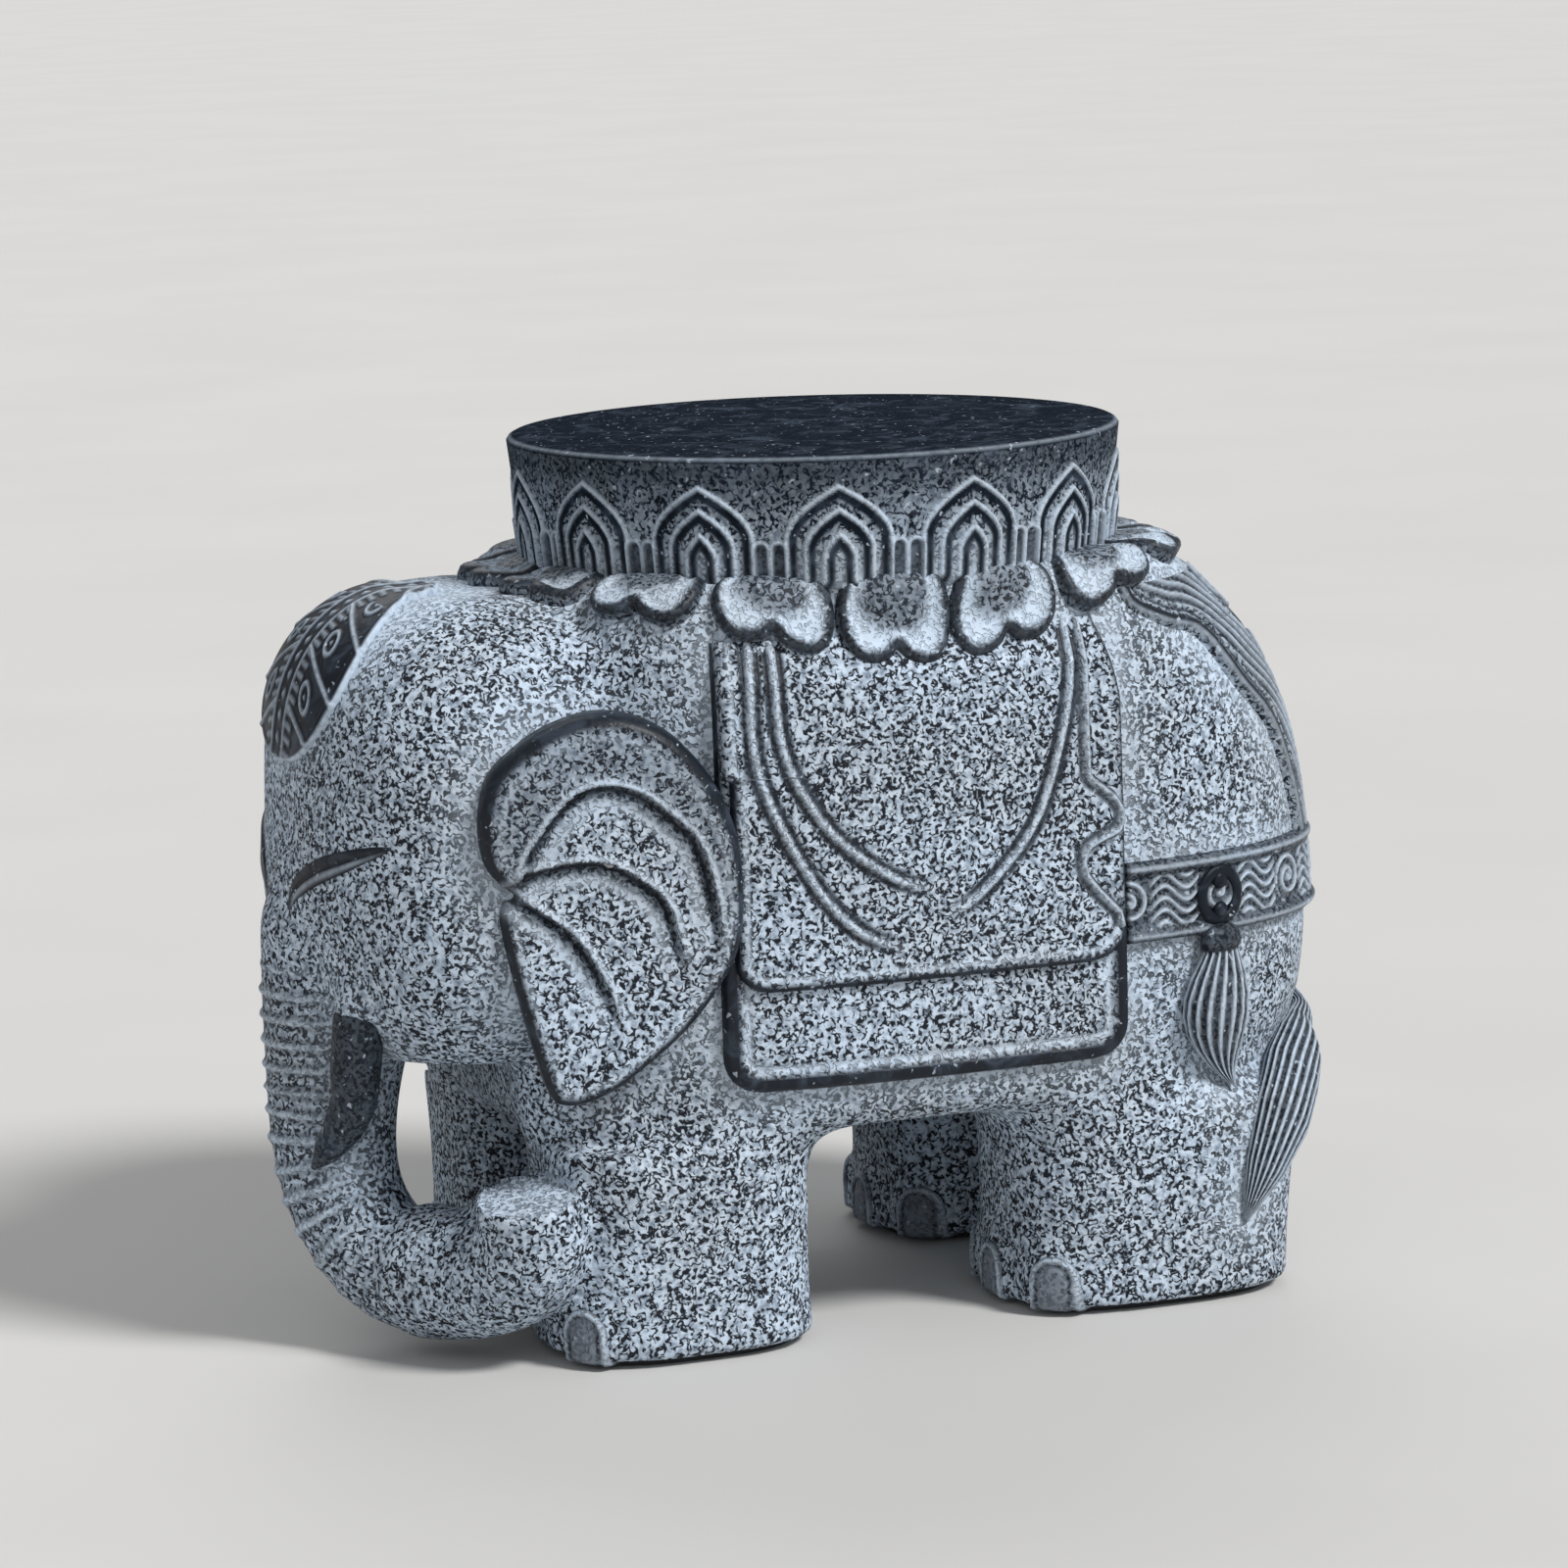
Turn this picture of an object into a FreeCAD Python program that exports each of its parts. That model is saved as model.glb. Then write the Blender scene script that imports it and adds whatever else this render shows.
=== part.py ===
import FreeCAD, Part
import math
import os

from FreeCAD import Vector

# Elephant stool of hollow cast stone, in mm. +Z is up, the head looks along -X and the animal's
# left side is -Y. The origin lies on the floor, under the middle of the stool's length.

# Seat drum
SEAT_HEIGHT = 380.0
SEAT_X = 20.0
SEAT_RADIUS = 133.0
DRUM_TAPER = 6.0
DRUM_HEIGHT = 46.0
DRUM_WALL = 19.0
SEAT_SLAB = 18.0

# Pointed arches on the drum's wall: tiers that rise by the relief, each one inside the last
ARCH_COUNT = 14
ARCH_FIRST_ANGLE = -107.0
ARCH_GAP = 12.0
ARCH_TOP_GAP = 9.0
ARCH_TIERS = 3
ARCH_STEP_IN = 8.0
ARCH_STEP_DOWN = 9.5
ARCH_SPRING = 16.0
ARCH_BULGE = 0.2
ARCH_RELIEF = 1.1

# Lotus collar under the drum: its reach past the drum's foot and its lip inside the drum's wall
COLLAR_THICKNESS = 8.0
COLLAR_REACH = 29.0
COLLAR_DROP = 30.0
COLLAR_LIP = 12.0
PETAL_COUNT = 16
PETAL_FIRST_ANGLE = -97.0
PETAL_GAP = 4.0
PETAL_ROOT = 4.0
PETAL_LENGTH = 26.0
PETAL_NOTCH = 5.0
PETAL_BELLY = 3.0
PETAL_SHOULDER = 6.0

# Torso, with its flanks set in from the seat's edge
FLANK_INSET = 6.0
RUMP_X = 230.0
CHEST_X = -146.0
BODY_WALL = 16.0
TORSO_POWER = 3.0

# Head, from its rise above the belly to its drop below the top of the back
HEAD_FRONT_X = -226.0
HEAD_MID_X = -136.0
HEAD_BACK_X = -56.0
HEAD_WIDTH = 212.0
HEAD_RISE = 36.0
NECK_DROP = 6.0
HEAD_WALL = 20.0
HEAD_POWER = 2.4

# Trunk, with its tip against the left front leg
TRUNK_RADIUS = 25.0
TRUNK_FLOOR_GAP = 7.0
TRUNK_ROOT_RISE = 62.0
TRUNK_DEPTH = 62.0
TRUNK_SWING = 73.0

# Tusks
TUSK_ROOT_RADIUS = 13.0
TUSK_TIP_RADIUS = 6.0
TUSK_LENGTH = 62.0
TUSK_SPREAD = 40.0
TUSK_SET_BACK = 23.0
TUSK_LEAN = 13.0
TUSK_TENON_RADIUS = 8.0
TUSK_TENON_LENGTH = 14.0

# Ears, from below the head's base to below its crown
EAR_X = -173.0
EAR_DROP = 12.0
EAR_TOP_DROP = 44.0
EAR_WIDTH = 110.0
EAR_THICKNESS = 16.0
EAR_FRONT_STAND = 6.0
EAR_BACK_STAND = 8.0

# Legs, toenails and foot pads
LEG_HEIGHT = 89.0
LEG_POWER = 3.0
FRONT_LEG_X = -83.0
FRONT_LEG_INSET = 8.0
FRONT_LEG_LENGTH = 114.0
FRONT_LEG_WIDTH = 98.0
HIND_LEG_X = 130.0
HIND_LEG_INSET = 2.0
HIND_LEG_LENGTH = 131.0
HIND_LEG_WIDTH = 100.0
NAIL_WIDTH = 24.0
NAIL_HEIGHT = 26.0
NAIL_RELIEF = 2.5
NAIL_SPREAD_ANGLE = 33.0
PAD_THICKNESS = 3.0
PAD_INSET = 9.0

# Saddle: an under skirt with an upper cloth lying on it
SKIRT_FRONT_X = -74.0
SKIRT_BACK_X = 108.0
SKIRT_RISE = 22.0
SKIRT_THICKNESS = 3.0
CLOTH_FRONT_X = -68.0
CLOTH_BACK_X = 105.0
CLOTH_RISE = 65.0
CLOTH_THICKNESS = 3.5
CLOTH_NOTCH = 14.0
CLOTH_NOTCH_HEIGHT = 34.0
SADDLE_CORNER = 14.0

# Harness
BAND_THICKNESS = 4.0
CRUPPER_RISE = 70.0
CRUPPER_HEIGHT = 35.0
RUMP_CLOTH_TOP_WIDTH = 244.0
RUMP_CLOTH_LOW_WIDTH = 170.0
HARNESS_RELIEF = 1.6
CRUPPER_ROLL = 6.0
RUMP_BORDER = 6.5
RUMP_RIB_COUNT = 4
RUMP_RIB_WIDTH = 2.6
RUMP_RIB_PITCH = 5.2
RUMP_RIB_RISE = 62.0
SCROLL_RADIUS = 9.0
SCROLL_LINE = 2.6
SCROLL_RISES = (20.0, 44.0)
HEADDRESS_WIDTH = 92.0
HEADDRESS_LENGTH = 119.0
HEADDRESS_DROP = 66.0

# Tassels that hang from the crupper, as turned forms: (radius share, height share)
TASSEL_X = 154.0
TASSEL_DROP = 7.0
TASSEL_LENGTH = 98.0
TASSEL_RADIUS = 12.0
TASSEL_FORM = (
    (0.50, 1.00),
    (0.50, 0.91),
    (0.33, 0.87),
    (0.58, 0.81),
    (0.33, 0.74),
    (0.75, 0.68),
    (1.00, 0.50),
    (0.90, 0.25),
    (0.33, 0.00),
)

# Tail, its tip lying in front of the hind leg's back by the lap
TAIL_RADIUS = 8.0
TAIL_ROOT_RISE = 34.0
TAIL_LENGTH = 92.0
TAIL_TIP_INSET = 2.0
TAIL_TIP_LAP = 34.5

# Steel dowels and the clearance round them
DOWEL_CLEARANCE = 0.2
DOWEL_WALL_DEPTH = 11.0
LEG_DOWEL_RADIUS = 6.0
LEG_DOWEL_DEPTH = 24.0
HEAD_DOWEL_RADIUS = 5.0
HEAD_DOWEL_Y = 45.0
HEAD_DOWEL_RISE = 102.0
SEAT_DOWEL_RADIUS = 4.0
SEAT_DOWEL_ANGLE = 30.0
EAR_DOWEL_RADIUS = 3.0
EAR_DOWEL_SET_BACK = 52.0
EAR_DOWEL_PITCH = 44.0
EAR_DOWEL_COVER = 5.0
TRUNK_DOWEL_RADIUS = 5.0
TRUNK_DOWEL_DEPTH = 22.0
TRUNK_DOWEL_SET_BACK = 23.0
TAIL_DOWEL_RADIUS = 3.0
TAIL_DOWEL_DEPTH = 4.0

# Sizes that follow from the ones above
DRUM_BASE_RADIUS = SEAT_RADIUS - DRUM_TAPER
ARCH_HALF_WIDTH = math.pi * DRUM_BASE_RADIUS / ARCH_COUNT - ARCH_GAP / 2
ARCH_HEIGHT = DRUM_HEIGHT - ARCH_TOP_GAP
COLLAR_RADIUS = DRUM_BASE_RADIUS + COLLAR_REACH
PETAL_MID_RADIUS = DRUM_BASE_RADIUS + PETAL_LENGTH * math.sqrt(0.5) / 2
PETAL_HALF_WIDTH = math.pi * PETAL_MID_RADIUS / PETAL_COUNT - PETAL_GAP / 2
COLLAR_BORE_RADIUS = DRUM_BASE_RADIUS - DRUM_WALL - COLLAR_LIP
BODY_WIDTH = 2 * (SEAT_RADIUS - FLANK_INSET)
BODY_BASE_Z = PAD_THICKNESS + LEG_HEIGHT
COLLAR_TOP_Z = SEAT_HEIGHT - DRUM_HEIGHT
COLLAR_BASE_Z = COLLAR_TOP_Z - COLLAR_DROP
BODY_TOP_Z = COLLAR_TOP_Z - COLLAR_THICKNESS
HEAD_TOP_Z = BODY_TOP_Z - NECK_DROP
HEAD_BASE_Z = BODY_BASE_Z + HEAD_RISE
HEADDRESS_TIP_Z = HEAD_TOP_Z - HEADDRESS_DROP
EAR_BASE_Z = HEAD_BASE_Z - EAR_DROP
EAR_HEIGHT = HEAD_TOP_Z - EAR_TOP_DROP - EAR_BASE_Z
EAR_DOWEL_X = EAR_X + EAR_DOWEL_SET_BACK
SKIRT_BASE_Z = BODY_BASE_Z + SKIRT_RISE
CLOTH_BASE_Z = BODY_BASE_Z + CLOTH_RISE
CRUPPER_BASE_Z = BODY_BASE_Z + CRUPPER_RISE
CRUPPER_TOP_Z = CRUPPER_BASE_Z + CRUPPER_HEIGHT
TASSEL_TOP_Z = CRUPPER_TOP_Z - TASSEL_DROP
TAIL_ROOT_Z = BODY_BASE_Z + TAIL_ROOT_RISE
FRONT_LEG_Y = (BODY_WIDTH - FRONT_LEG_WIDTH) / 2 - FRONT_LEG_INSET
HIND_LEG_Y = (BODY_WIDTH - HIND_LEG_WIDTH) / 2 - HIND_LEG_INSET
TAIL_DEPTH = RUMP_X - (HIND_LEG_X + HIND_LEG_LENGTH / 2 - TAIL_TIP_LAP)
BODY_MID_X = (CHEST_X + RUMP_X) / 2
FAR = 2 * (RUMP_X - HEAD_FRONT_X)
UP = Vector(0, 0, 1)
SIDES = {"left": -1, "right": 1}

# Forms as shares of the sizes: (height, reach to the front, reach to the back, half width)
TORSO_FORM = (
    (0.00, 0.96, 0.93, 0.95),
    (0.10, 1.00, 0.97, 0.99),
    (0.28, 1.00, 1.00, 1.00),
    (0.45, 1.00, 0.99, 1.00),
    (0.72, 0.97, 0.92, 1.00),
    (0.92, 0.88, 0.77, 0.98),
    (1.00, 0.78, 0.67, 0.94),
)
HEAD_FORM = (
    (0.00, 0.78, 1.00, 0.74),
    (0.12, 0.94, 1.00, 0.92),
    (0.36, 1.00, 1.00, 1.00),
    (0.62, 0.99, 1.00, 0.98),
    (0.82, 0.92, 1.00, 0.87),
    (0.94, 0.74, 1.00, 0.68),
    (1.00, 0.48, 1.00, 0.46),
)
FRONT_LEG_FORM = (
    (0.0, 1.00, 1.00, 1.00),
    (0.5, 0.98, 0.98, 0.99),
    (1.0, 1.02, 1.04, 1.02),
)
HIND_LEG_FORM = (
    (0.0, 1.00, 1.00, 1.00),
    (0.5, 0.98, 1.05, 0.99),
    (1.0, 1.04, 1.18, 1.00),
)
# Trunk stations as shares: (set back from the face, swing, height up to the root, thickness)
TRUNK_FORM = (
    (0.75, 0.00, 1.00, 1.40),
    (0.36, 0.00, 0.75, 1.40),
    (0.28, 0.01, 0.53, 1.18),
    (0.25, 0.06, 0.31, 1.06),
    (0.36, 0.20, 0.12, 1.00),
    (0.68, 0.46, 0.00, 1.00),
    (1.00, 0.74, 0.04, 0.97),
    (1.21, 0.93, 0.14, 0.92),
    (1.28, 1.00, 0.23, 0.88),
)
# Ear outline as shares of its width and height, from its root round by the top
EAR_OUTLINE = (
    (0.06, 0.55),
    (0.01, 0.80),
    (0.22, 0.98),
    (0.53, 1.00),
    (0.80, 0.90),
    (1.00, 0.50),
    (0.92, 0.28),
    (0.52, 0.04),
    (0.26, 0.02),
    (0.12, 0.24),
)
# Tail stations as shares: (set in from the rump, swing, height above the tip, thickness)
TAIL_FORM = (
    (0.00, 0.00, 1.00, 1.00),
    (0.03, 0.24, 0.96, 0.95),
    (0.25, 0.57, 0.84, 1.20),
    (0.52, 0.82, 0.60, 1.60),
    (0.78, 0.95, 0.30, 1.40),
    (1.00, 1.00, 0.00, 0.45),
)


def signed_power(value, power):
    return math.copysign(abs(value) ** power, value)


def plan_loop(z, front_x, back_x, middle_y, half_width, power):
    """Closed level outline between two ends, squarer as the power rises above 2."""
    middle_x = (front_x + back_x) / 2
    half_length = (back_x - front_x) / 2
    steps = 20
    points = []
    for step in range(steps):
        turn = 2 * math.pi * step / steps
        x = middle_x + half_length * signed_power(math.cos(turn), 2 / power)
        y = middle_y + half_width * signed_power(math.sin(turn), 2 / power)
        points.append(Vector(x, y, z))
    curve = Part.BSplineCurve()
    curve.interpolate(Points=points, PeriodicFlag=True)
    return Part.Wire([curve.toShape()])


def stacked_form(form, heights, middle, reach, half_width, power, grow):
    """Solid through level outlines; grow moves every face outwards, or inwards if negative."""
    base_z = heights[0] - grow
    rise = heights[1] + grow - base_z
    loops = []
    for height, front, back, width in form:
        front_x = middle[0] - reach[0] * front - grow
        back_x = middle[0] + reach[1] * back + grow
        half = half_width * width + grow
        loops.append(plan_loop(base_z + height * rise, front_x, back_x, middle[1], half, power))
    return Part.makeLoft(loops, True)


def torso_form(grow=0.0):
    heights = (BODY_BASE_Z, BODY_TOP_Z)
    reach = (SEAT_X - CHEST_X, RUMP_X - SEAT_X)
    return stacked_form(TORSO_FORM, heights, (SEAT_X, 0), reach, BODY_WIDTH / 2, TORSO_POWER, grow)


def head_form(grow=0.0):
    heights = (HEAD_BASE_Z, HEAD_TOP_Z)
    reach = (HEAD_MID_X - HEAD_FRONT_X, HEAD_BACK_X - HEAD_MID_X)
    return stacked_form(HEAD_FORM, heights, (HEAD_MID_X, 0), reach, HEAD_WIDTH / 2, HEAD_POWER, grow)


def flank_y(x):
    """Half width of the torso at its widest level."""
    share = abs(x - BODY_MID_X) / (RUMP_X - BODY_MID_X)
    return BODY_WIDTH / 2 * (1 - share ** TORSO_POWER) ** (1 / TORSO_POWER)


def chest_x(y):
    """Front of the torso at its longest level."""
    share = abs(y) / (BODY_WIDTH / 2)
    return BODY_MID_X - (RUMP_X - BODY_MID_X) * (1 - share ** TORSO_POWER) ** (1 / TORSO_POWER)


def round_stations(stations):
    """Solid through circles that stand square to the line through (point, radius) stations."""
    spine = Part.BSplineCurve()
    spine.interpolate([point for point, radius in stations])
    loops = []
    for point, radius in stations:
        direction = spine.tangent(spine.parameter(point))[0]
        loops.append(Part.Wire([Part.Circle(point, direction, radius).toShape()]))
    return Part.makeLoft(loops, True)


def side_prism(wire, side):
    """Prism of a side-view outline, from the middle plane out past one flank."""
    return Part.Face(wire).extrude(Vector(0, side * BODY_WIDTH, 0))


def mirrored(shape):
    return shape.mirror(Vector(0, 0, 0), Vector(0, 1, 0))


def pin_and_socket(start, axis, radius, length):
    """A dowel and the slightly larger hole that takes it."""
    pin = Part.makeCylinder(radius, length, start, axis)
    mouth = start - axis * DOWEL_CLEARANCE
    socket = Part.makeCylinder(radius + DOWEL_CLEARANCE, length + 2 * DOWEL_CLEARANCE, mouth, axis)
    return pin, socket


def leg_dowels():
    pairs = []
    for x, y in ((FRONT_LEG_X, FRONT_LEG_Y), (HIND_LEG_X, HIND_LEG_Y)):
        for side in SIDES.values():
            start = Vector(x, side * y, BODY_BASE_Z - LEG_DOWEL_DEPTH)
            pairs.append(pin_and_socket(start, UP, LEG_DOWEL_RADIUS, LEG_DOWEL_DEPTH + DOWEL_WALL_DEPTH))
    return pairs


def head_dowels():
    pairs = []
    start_x = chest_x(HEAD_DOWEL_Y) - DOWEL_WALL_DEPTH
    for side in SIDES.values():
        start = Vector(start_x, side * HEAD_DOWEL_Y, HEAD_BASE_Z + HEAD_DOWEL_RISE)
        pairs.append(pin_and_socket(start, Vector(1, 0, 0), HEAD_DOWEL_RADIUS, 2 * DOWEL_WALL_DEPTH))
    return pairs


def seat_dowels():
    """Four dowels from the drum's wall down through the collar into the back."""
    ring = DRUM_BASE_RADIUS - DRUM_WALL / 2
    pairs = []
    for angle in (SEAT_DOWEL_ANGLE, 180 - SEAT_DOWEL_ANGLE, 180 + SEAT_DOWEL_ANGLE, -SEAT_DOWEL_ANGLE):
        turn = math.radians(angle)
        x = SEAT_X + ring * math.cos(turn)
        start = Vector(x, ring * math.sin(turn), BODY_TOP_Z - DOWEL_WALL_DEPTH)
        pairs.append(pin_and_socket(start, UP, SEAT_DOWEL_RADIUS, COLLAR_THICKNESS + 2 * DOWEL_WALL_DEPTH))
    return pairs


def ear_outer_y(x):
    """Distance of the ear's outer face from the middle plane; it flares towards the back."""
    front = HEAD_WIDTH / 2 + EAR_FRONT_STAND
    back = BODY_WIDTH / 2 + EAR_BACK_STAND
    return front + (back - front) * (x - EAR_X) / EAR_WIDTH


def ear_dowels():
    inner = HEAD_WIDTH / 2 - DOWEL_WALL_DEPTH
    length = ear_outer_y(EAR_DOWEL_X) - EAR_DOWEL_COVER - inner
    middle_z = EAR_BASE_Z + EAR_HEIGHT / 2
    pairs = []
    for side in SIDES.values():
        for z in (middle_z - EAR_DOWEL_PITCH / 2, middle_z + EAR_DOWEL_PITCH / 2):
            start = Vector(EAR_DOWEL_X, side * inner, z)
            pairs.append(pin_and_socket(start, Vector(0, side, 0), EAR_DOWEL_RADIUS, length))
    return pairs


def trunk_dowel():
    start = Vector(HEAD_FRONT_X + TRUNK_DOWEL_SET_BACK, 0, HEAD_BASE_Z - TRUNK_DOWEL_DEPTH)
    return [pin_and_socket(start, UP, TRUNK_DOWEL_RADIUS, TRUNK_DOWEL_DEPTH + DOWEL_WALL_DEPTH)]


def tail_dowel():
    start = Vector(RUMP_X - DOWEL_WALL_DEPTH, 0, TAIL_ROOT_Z)
    return [pin_and_socket(start, Vector(1, 0, 0), TAIL_DOWEL_RADIUS, DOWEL_WALL_DEPTH + TAIL_DOWEL_DEPTH)]


def bored(shape, pairs):
    """A piece with the sockets of some dowels cut into it."""
    return shape.cut([socket for pin, socket in pairs])


def arch_prism(half_width, height):
    """Pointed arch that stands at the drum's foot and reaches out through its wall."""
    start_x = SEAT_X + DRUM_BASE_RADIUS - DRUM_WALL / 2
    top = Vector(start_x, 0, COLLAR_TOP_Z + height)
    feet = []
    halves = []
    for side in SIDES.values():
        foot = Vector(start_x, side * half_width, COLLAR_TOP_Z)
        spring = foot + UP * min(ARCH_SPRING, height / 2)
        shoulder = (spring + top) * 0.5 + Vector(0, side, 1) * ARCH_BULGE * half_width
        feet.append(foot)
        halves.append([Part.makeLine(foot, spring), Part.Arc(spring, shoulder, top).toShape()])
    edges = halves[0] + halves[1][::-1] + [Part.makeLine(feet[1], feet[0])]
    return Part.Face(Part.Wire(edges)).extrude(Vector(DRUM_WALL, 0, 0))


def seat_drum():
    """Tapered drum with arches round its wall, open below, with a solid seat slab."""
    foot = Vector(SEAT_X, 0, COLLAR_TOP_Z)
    arches = []
    for tier in range(ARCH_TIERS):
        lift = (tier + 1) * ARCH_RELIEF
        skin = Part.makeCone(DRUM_BASE_RADIUS + lift, SEAT_RADIUS + lift, DRUM_HEIGHT, foot)
        prism = arch_prism(ARCH_HALF_WIDTH - tier * ARCH_STEP_IN, ARCH_HEIGHT - tier * ARCH_STEP_DOWN)
        arches.append(prism.common(skin))
    arch = arches[0].fuse(arches[1:])
    copies = []
    for number in range(ARCH_COUNT):
        turned = arch.copy()
        turned.rotate(foot, UP, ARCH_FIRST_ANGLE + number * 360 / ARCH_COUNT)
        copies.append(turned)
    outer = Part.makeCone(DRUM_BASE_RADIUS, SEAT_RADIUS, DRUM_HEIGHT, foot).fuse(copies)
    hollow = Part.makeCylinder(DRUM_BASE_RADIUS - DRUM_WALL, DRUM_HEIGHT - SEAT_SLAB, foot)
    return outer.cut(hollow)


def petal_prism():
    """Heart outline on a slope below the drum's foot, reaching through the collar both ways."""
    down = Vector(1, 0, -1).normalize()
    out = Vector(1, 0, 1).normalize()
    root = Vector(SEAT_X + DRUM_BASE_RADIUS, 0, COLLAR_TOP_Z) - out * COLLAR_REACH
    notch = root + down * (PETAL_LENGTH - PETAL_NOTCH)
    starts = []
    halves = []
    for side in SIDES.values():
        widest = root + Vector(0, side * PETAL_HALF_WIDTH, 0) + down * (PETAL_LENGTH / 2)
        edge = root + Vector(0, side * (PETAL_HALF_WIDTH - PETAL_BELLY), 0)
        start = edge - down * PETAL_ROOT
        cheek = edge + down * (PETAL_LENGTH - PETAL_SHOULDER)
        lobe = root + Vector(0, side * PETAL_HALF_WIDTH / 2, 0) + down * PETAL_LENGTH
        starts.append(start)
        halves.append([Part.Arc(start, widest, cheek).toShape(), Part.Arc(cheek, lobe, notch).toShape()])
    edges = halves[0] + halves[1][::-1] + [Part.makeLine(starts[1], starts[0])]
    return Part.Face(Part.Wire(edges)).extrude(out * 2 * COLLAR_REACH)


def petal_collar():
    """Ring draped over the back and shoulders, cut into heart-shaped petals."""
    foot = Vector(SEAT_X, 0, COLLAR_BASE_Z)
    ring = Part.makeCylinder(COLLAR_RADIUS, COLLAR_DROP, foot)
    ring = ring.cut(Part.makeCylinder(COLLAR_BORE_RADIUS, COLLAR_DROP, foot))
    collar = torso_form(COLLAR_THICKNESS).common(ring).cut([torso_outer, head_outer])
    core = Part.makeCylinder(DRUM_BASE_RADIUS + PETAL_ROOT, COLLAR_DROP, foot)
    petals = []
    for petal in range(PETAL_COUNT):
        prism = petal_prism()
        prism.rotate(foot, UP, PETAL_FIRST_ANGLE + petal * 360 / PETAL_COUNT)
        petals.append(prism)
    return collar.common(core.fuse(petals))


def leg(x, y, length, width, form):
    """Left leg with three arched toenails on the front of its foot."""
    heights = (PAD_THICKNESS, BODY_BASE_Z)
    reach = (length / 2, length / 2)
    column = stacked_form(form, heights, (x, -y), reach, width / 2, LEG_POWER, 0.0)
    skin = stacked_form(form, heights, (x, -y), reach, width / 2, LEG_POWER, NAIL_RELIEF)
    half = NAIL_WIDTH / 2
    arch_z = PAD_THICKNESS + NAIL_HEIGHT - half
    arch = Part.makeCylinder(half, length, Vector(x, -y, arch_z), Vector(-1, 0, 0))
    shank_corner = Vector(x - length, -y - half, PAD_THICKNESS)
    nail = arch.fuse(Part.makeBox(length, NAIL_WIDTH, NAIL_HEIGHT - half, shank_corner))
    for turn in (-NAIL_SPREAD_ANGLE, 0, NAIL_SPREAD_ANGLE):
        turned = nail.copy()
        turned.rotate(Vector(x, -y, 0), UP, turn)
        column = column.fuse(turned.common(skin))
    return column


def foot_pad(x, y, length, width):
    """Left rubber pad under a foot."""
    reach = length / 2 - PAD_INSET
    rim = plan_loop(0, x - reach, x + reach, -y, width / 2 - PAD_INSET, LEG_POWER)
    return Part.Face(rim).extrude(Vector(0, 0, PAD_THICKNESS))


def trunk():
    low_z = TRUNK_FLOOR_GAP + TRUNK_RADIUS
    rise = HEAD_BASE_Z + TRUNK_ROOT_RISE - low_z
    stations = []
    for back, swing, height, thickness in TRUNK_FORM:
        x = HEAD_FRONT_X + back * TRUNK_DEPTH
        point = Vector(x, -swing * TRUNK_SWING, low_z + height * rise)
        stations.append((point, thickness * TRUNK_RADIUS))
    return round_stations(stations)


def tusk():
    """Left tusk: a tapered stub, and a tenon that runs from inside it up into the head."""
    root = Vector(HEAD_FRONT_X + TUSK_SET_BACK, -TUSK_SPREAD, HEAD_BASE_Z + TUSK_ROOT_RADIUS)
    stub = Part.makeCone(TUSK_ROOT_RADIUS, TUSK_TIP_RADIUS, TUSK_LENGTH, root, Vector(0, 0, -1))
    tenon_foot = root - UP * TUSK_TENON_LENGTH
    tenon = Part.makeCylinder(TUSK_TENON_RADIUS, 2 * TUSK_TENON_LENGTH, tenon_foot)
    socket_length = 2 * TUSK_TENON_LENGTH + DOWEL_CLEARANCE
    socket = Part.makeCylinder(TUSK_TENON_RADIUS + DOWEL_CLEARANCE, socket_length, tenon_foot)
    for piece in (stub, tenon, socket):
        piece.rotate(root, Vector(0, 1, 0), TUSK_LEAN)
    return stub, tenon, socket


def ear():
    """Left ear: a leaning slab whose outline runs through the outline points."""
    points = []
    for across, up in EAR_OUTLINE:
        points.append(Vector(EAR_X + across * EAR_WIDTH, 0, EAR_BASE_Z + up * EAR_HEIGHT))
    curve = Part.BSplineCurve()
    curve.interpolate(Points=points, PeriodicFlag=True)
    prism = side_prism(Part.Wire([curve.toShape()]), SIDES["left"])
    ends = (EAR_X - EAR_WIDTH, EAR_X + 2 * EAR_WIDTH)
    corners = [Vector(x, -ear_outer_y(x), 0) for x in ends]
    corners += [Vector(x, EAR_THICKNESS - ear_outer_y(x), 0) for x in reversed(ends)]
    slab = Part.Face(Part.makePolygon(corners + corners[:1])).extrude(Vector(0, 0, SEAT_HEIGHT))
    return prism.common(slab)


def saddle_outline(front_x, back_x, base_z):
    """Side-view edges of a hanging panel with rounded lower corners, without its back edge."""
    corner = SADDLE_CORNER
    bend = corner * (1 - math.sqrt(0.5))
    front = [
        Vector(front_x, 0, COLLAR_BASE_Z),
        Vector(front_x, 0, base_z + corner),
        Vector(front_x + bend, 0, base_z + bend),
        Vector(front_x + corner, 0, base_z),
    ]
    back = [
        Vector(back_x - corner, 0, base_z),
        Vector(back_x - bend, 0, base_z + bend),
        Vector(back_x, 0, base_z + corner),
    ]
    return [
        Part.makeLine(front[0], front[1]),
        Part.Arc(front[1], front[2], front[3]).toShape(),
        Part.makeLine(front[3], back[0]),
        Part.Arc(back[0], back[1], back[2]).toShape(),
    ]


def skirt_wire():
    edges = saddle_outline(SKIRT_FRONT_X, SKIRT_BACK_X, SKIRT_BASE_Z)
    low = Vector(SKIRT_BACK_X, 0, SKIRT_BASE_Z + SADDLE_CORNER)
    top = Vector(SKIRT_BACK_X, 0, COLLAR_BASE_Z)
    edges += [Part.makeLine(low, top), Part.makeLine(top, Vector(SKIRT_FRONT_X, 0, COLLAR_BASE_Z))]
    return Part.Wire(edges)


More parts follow.
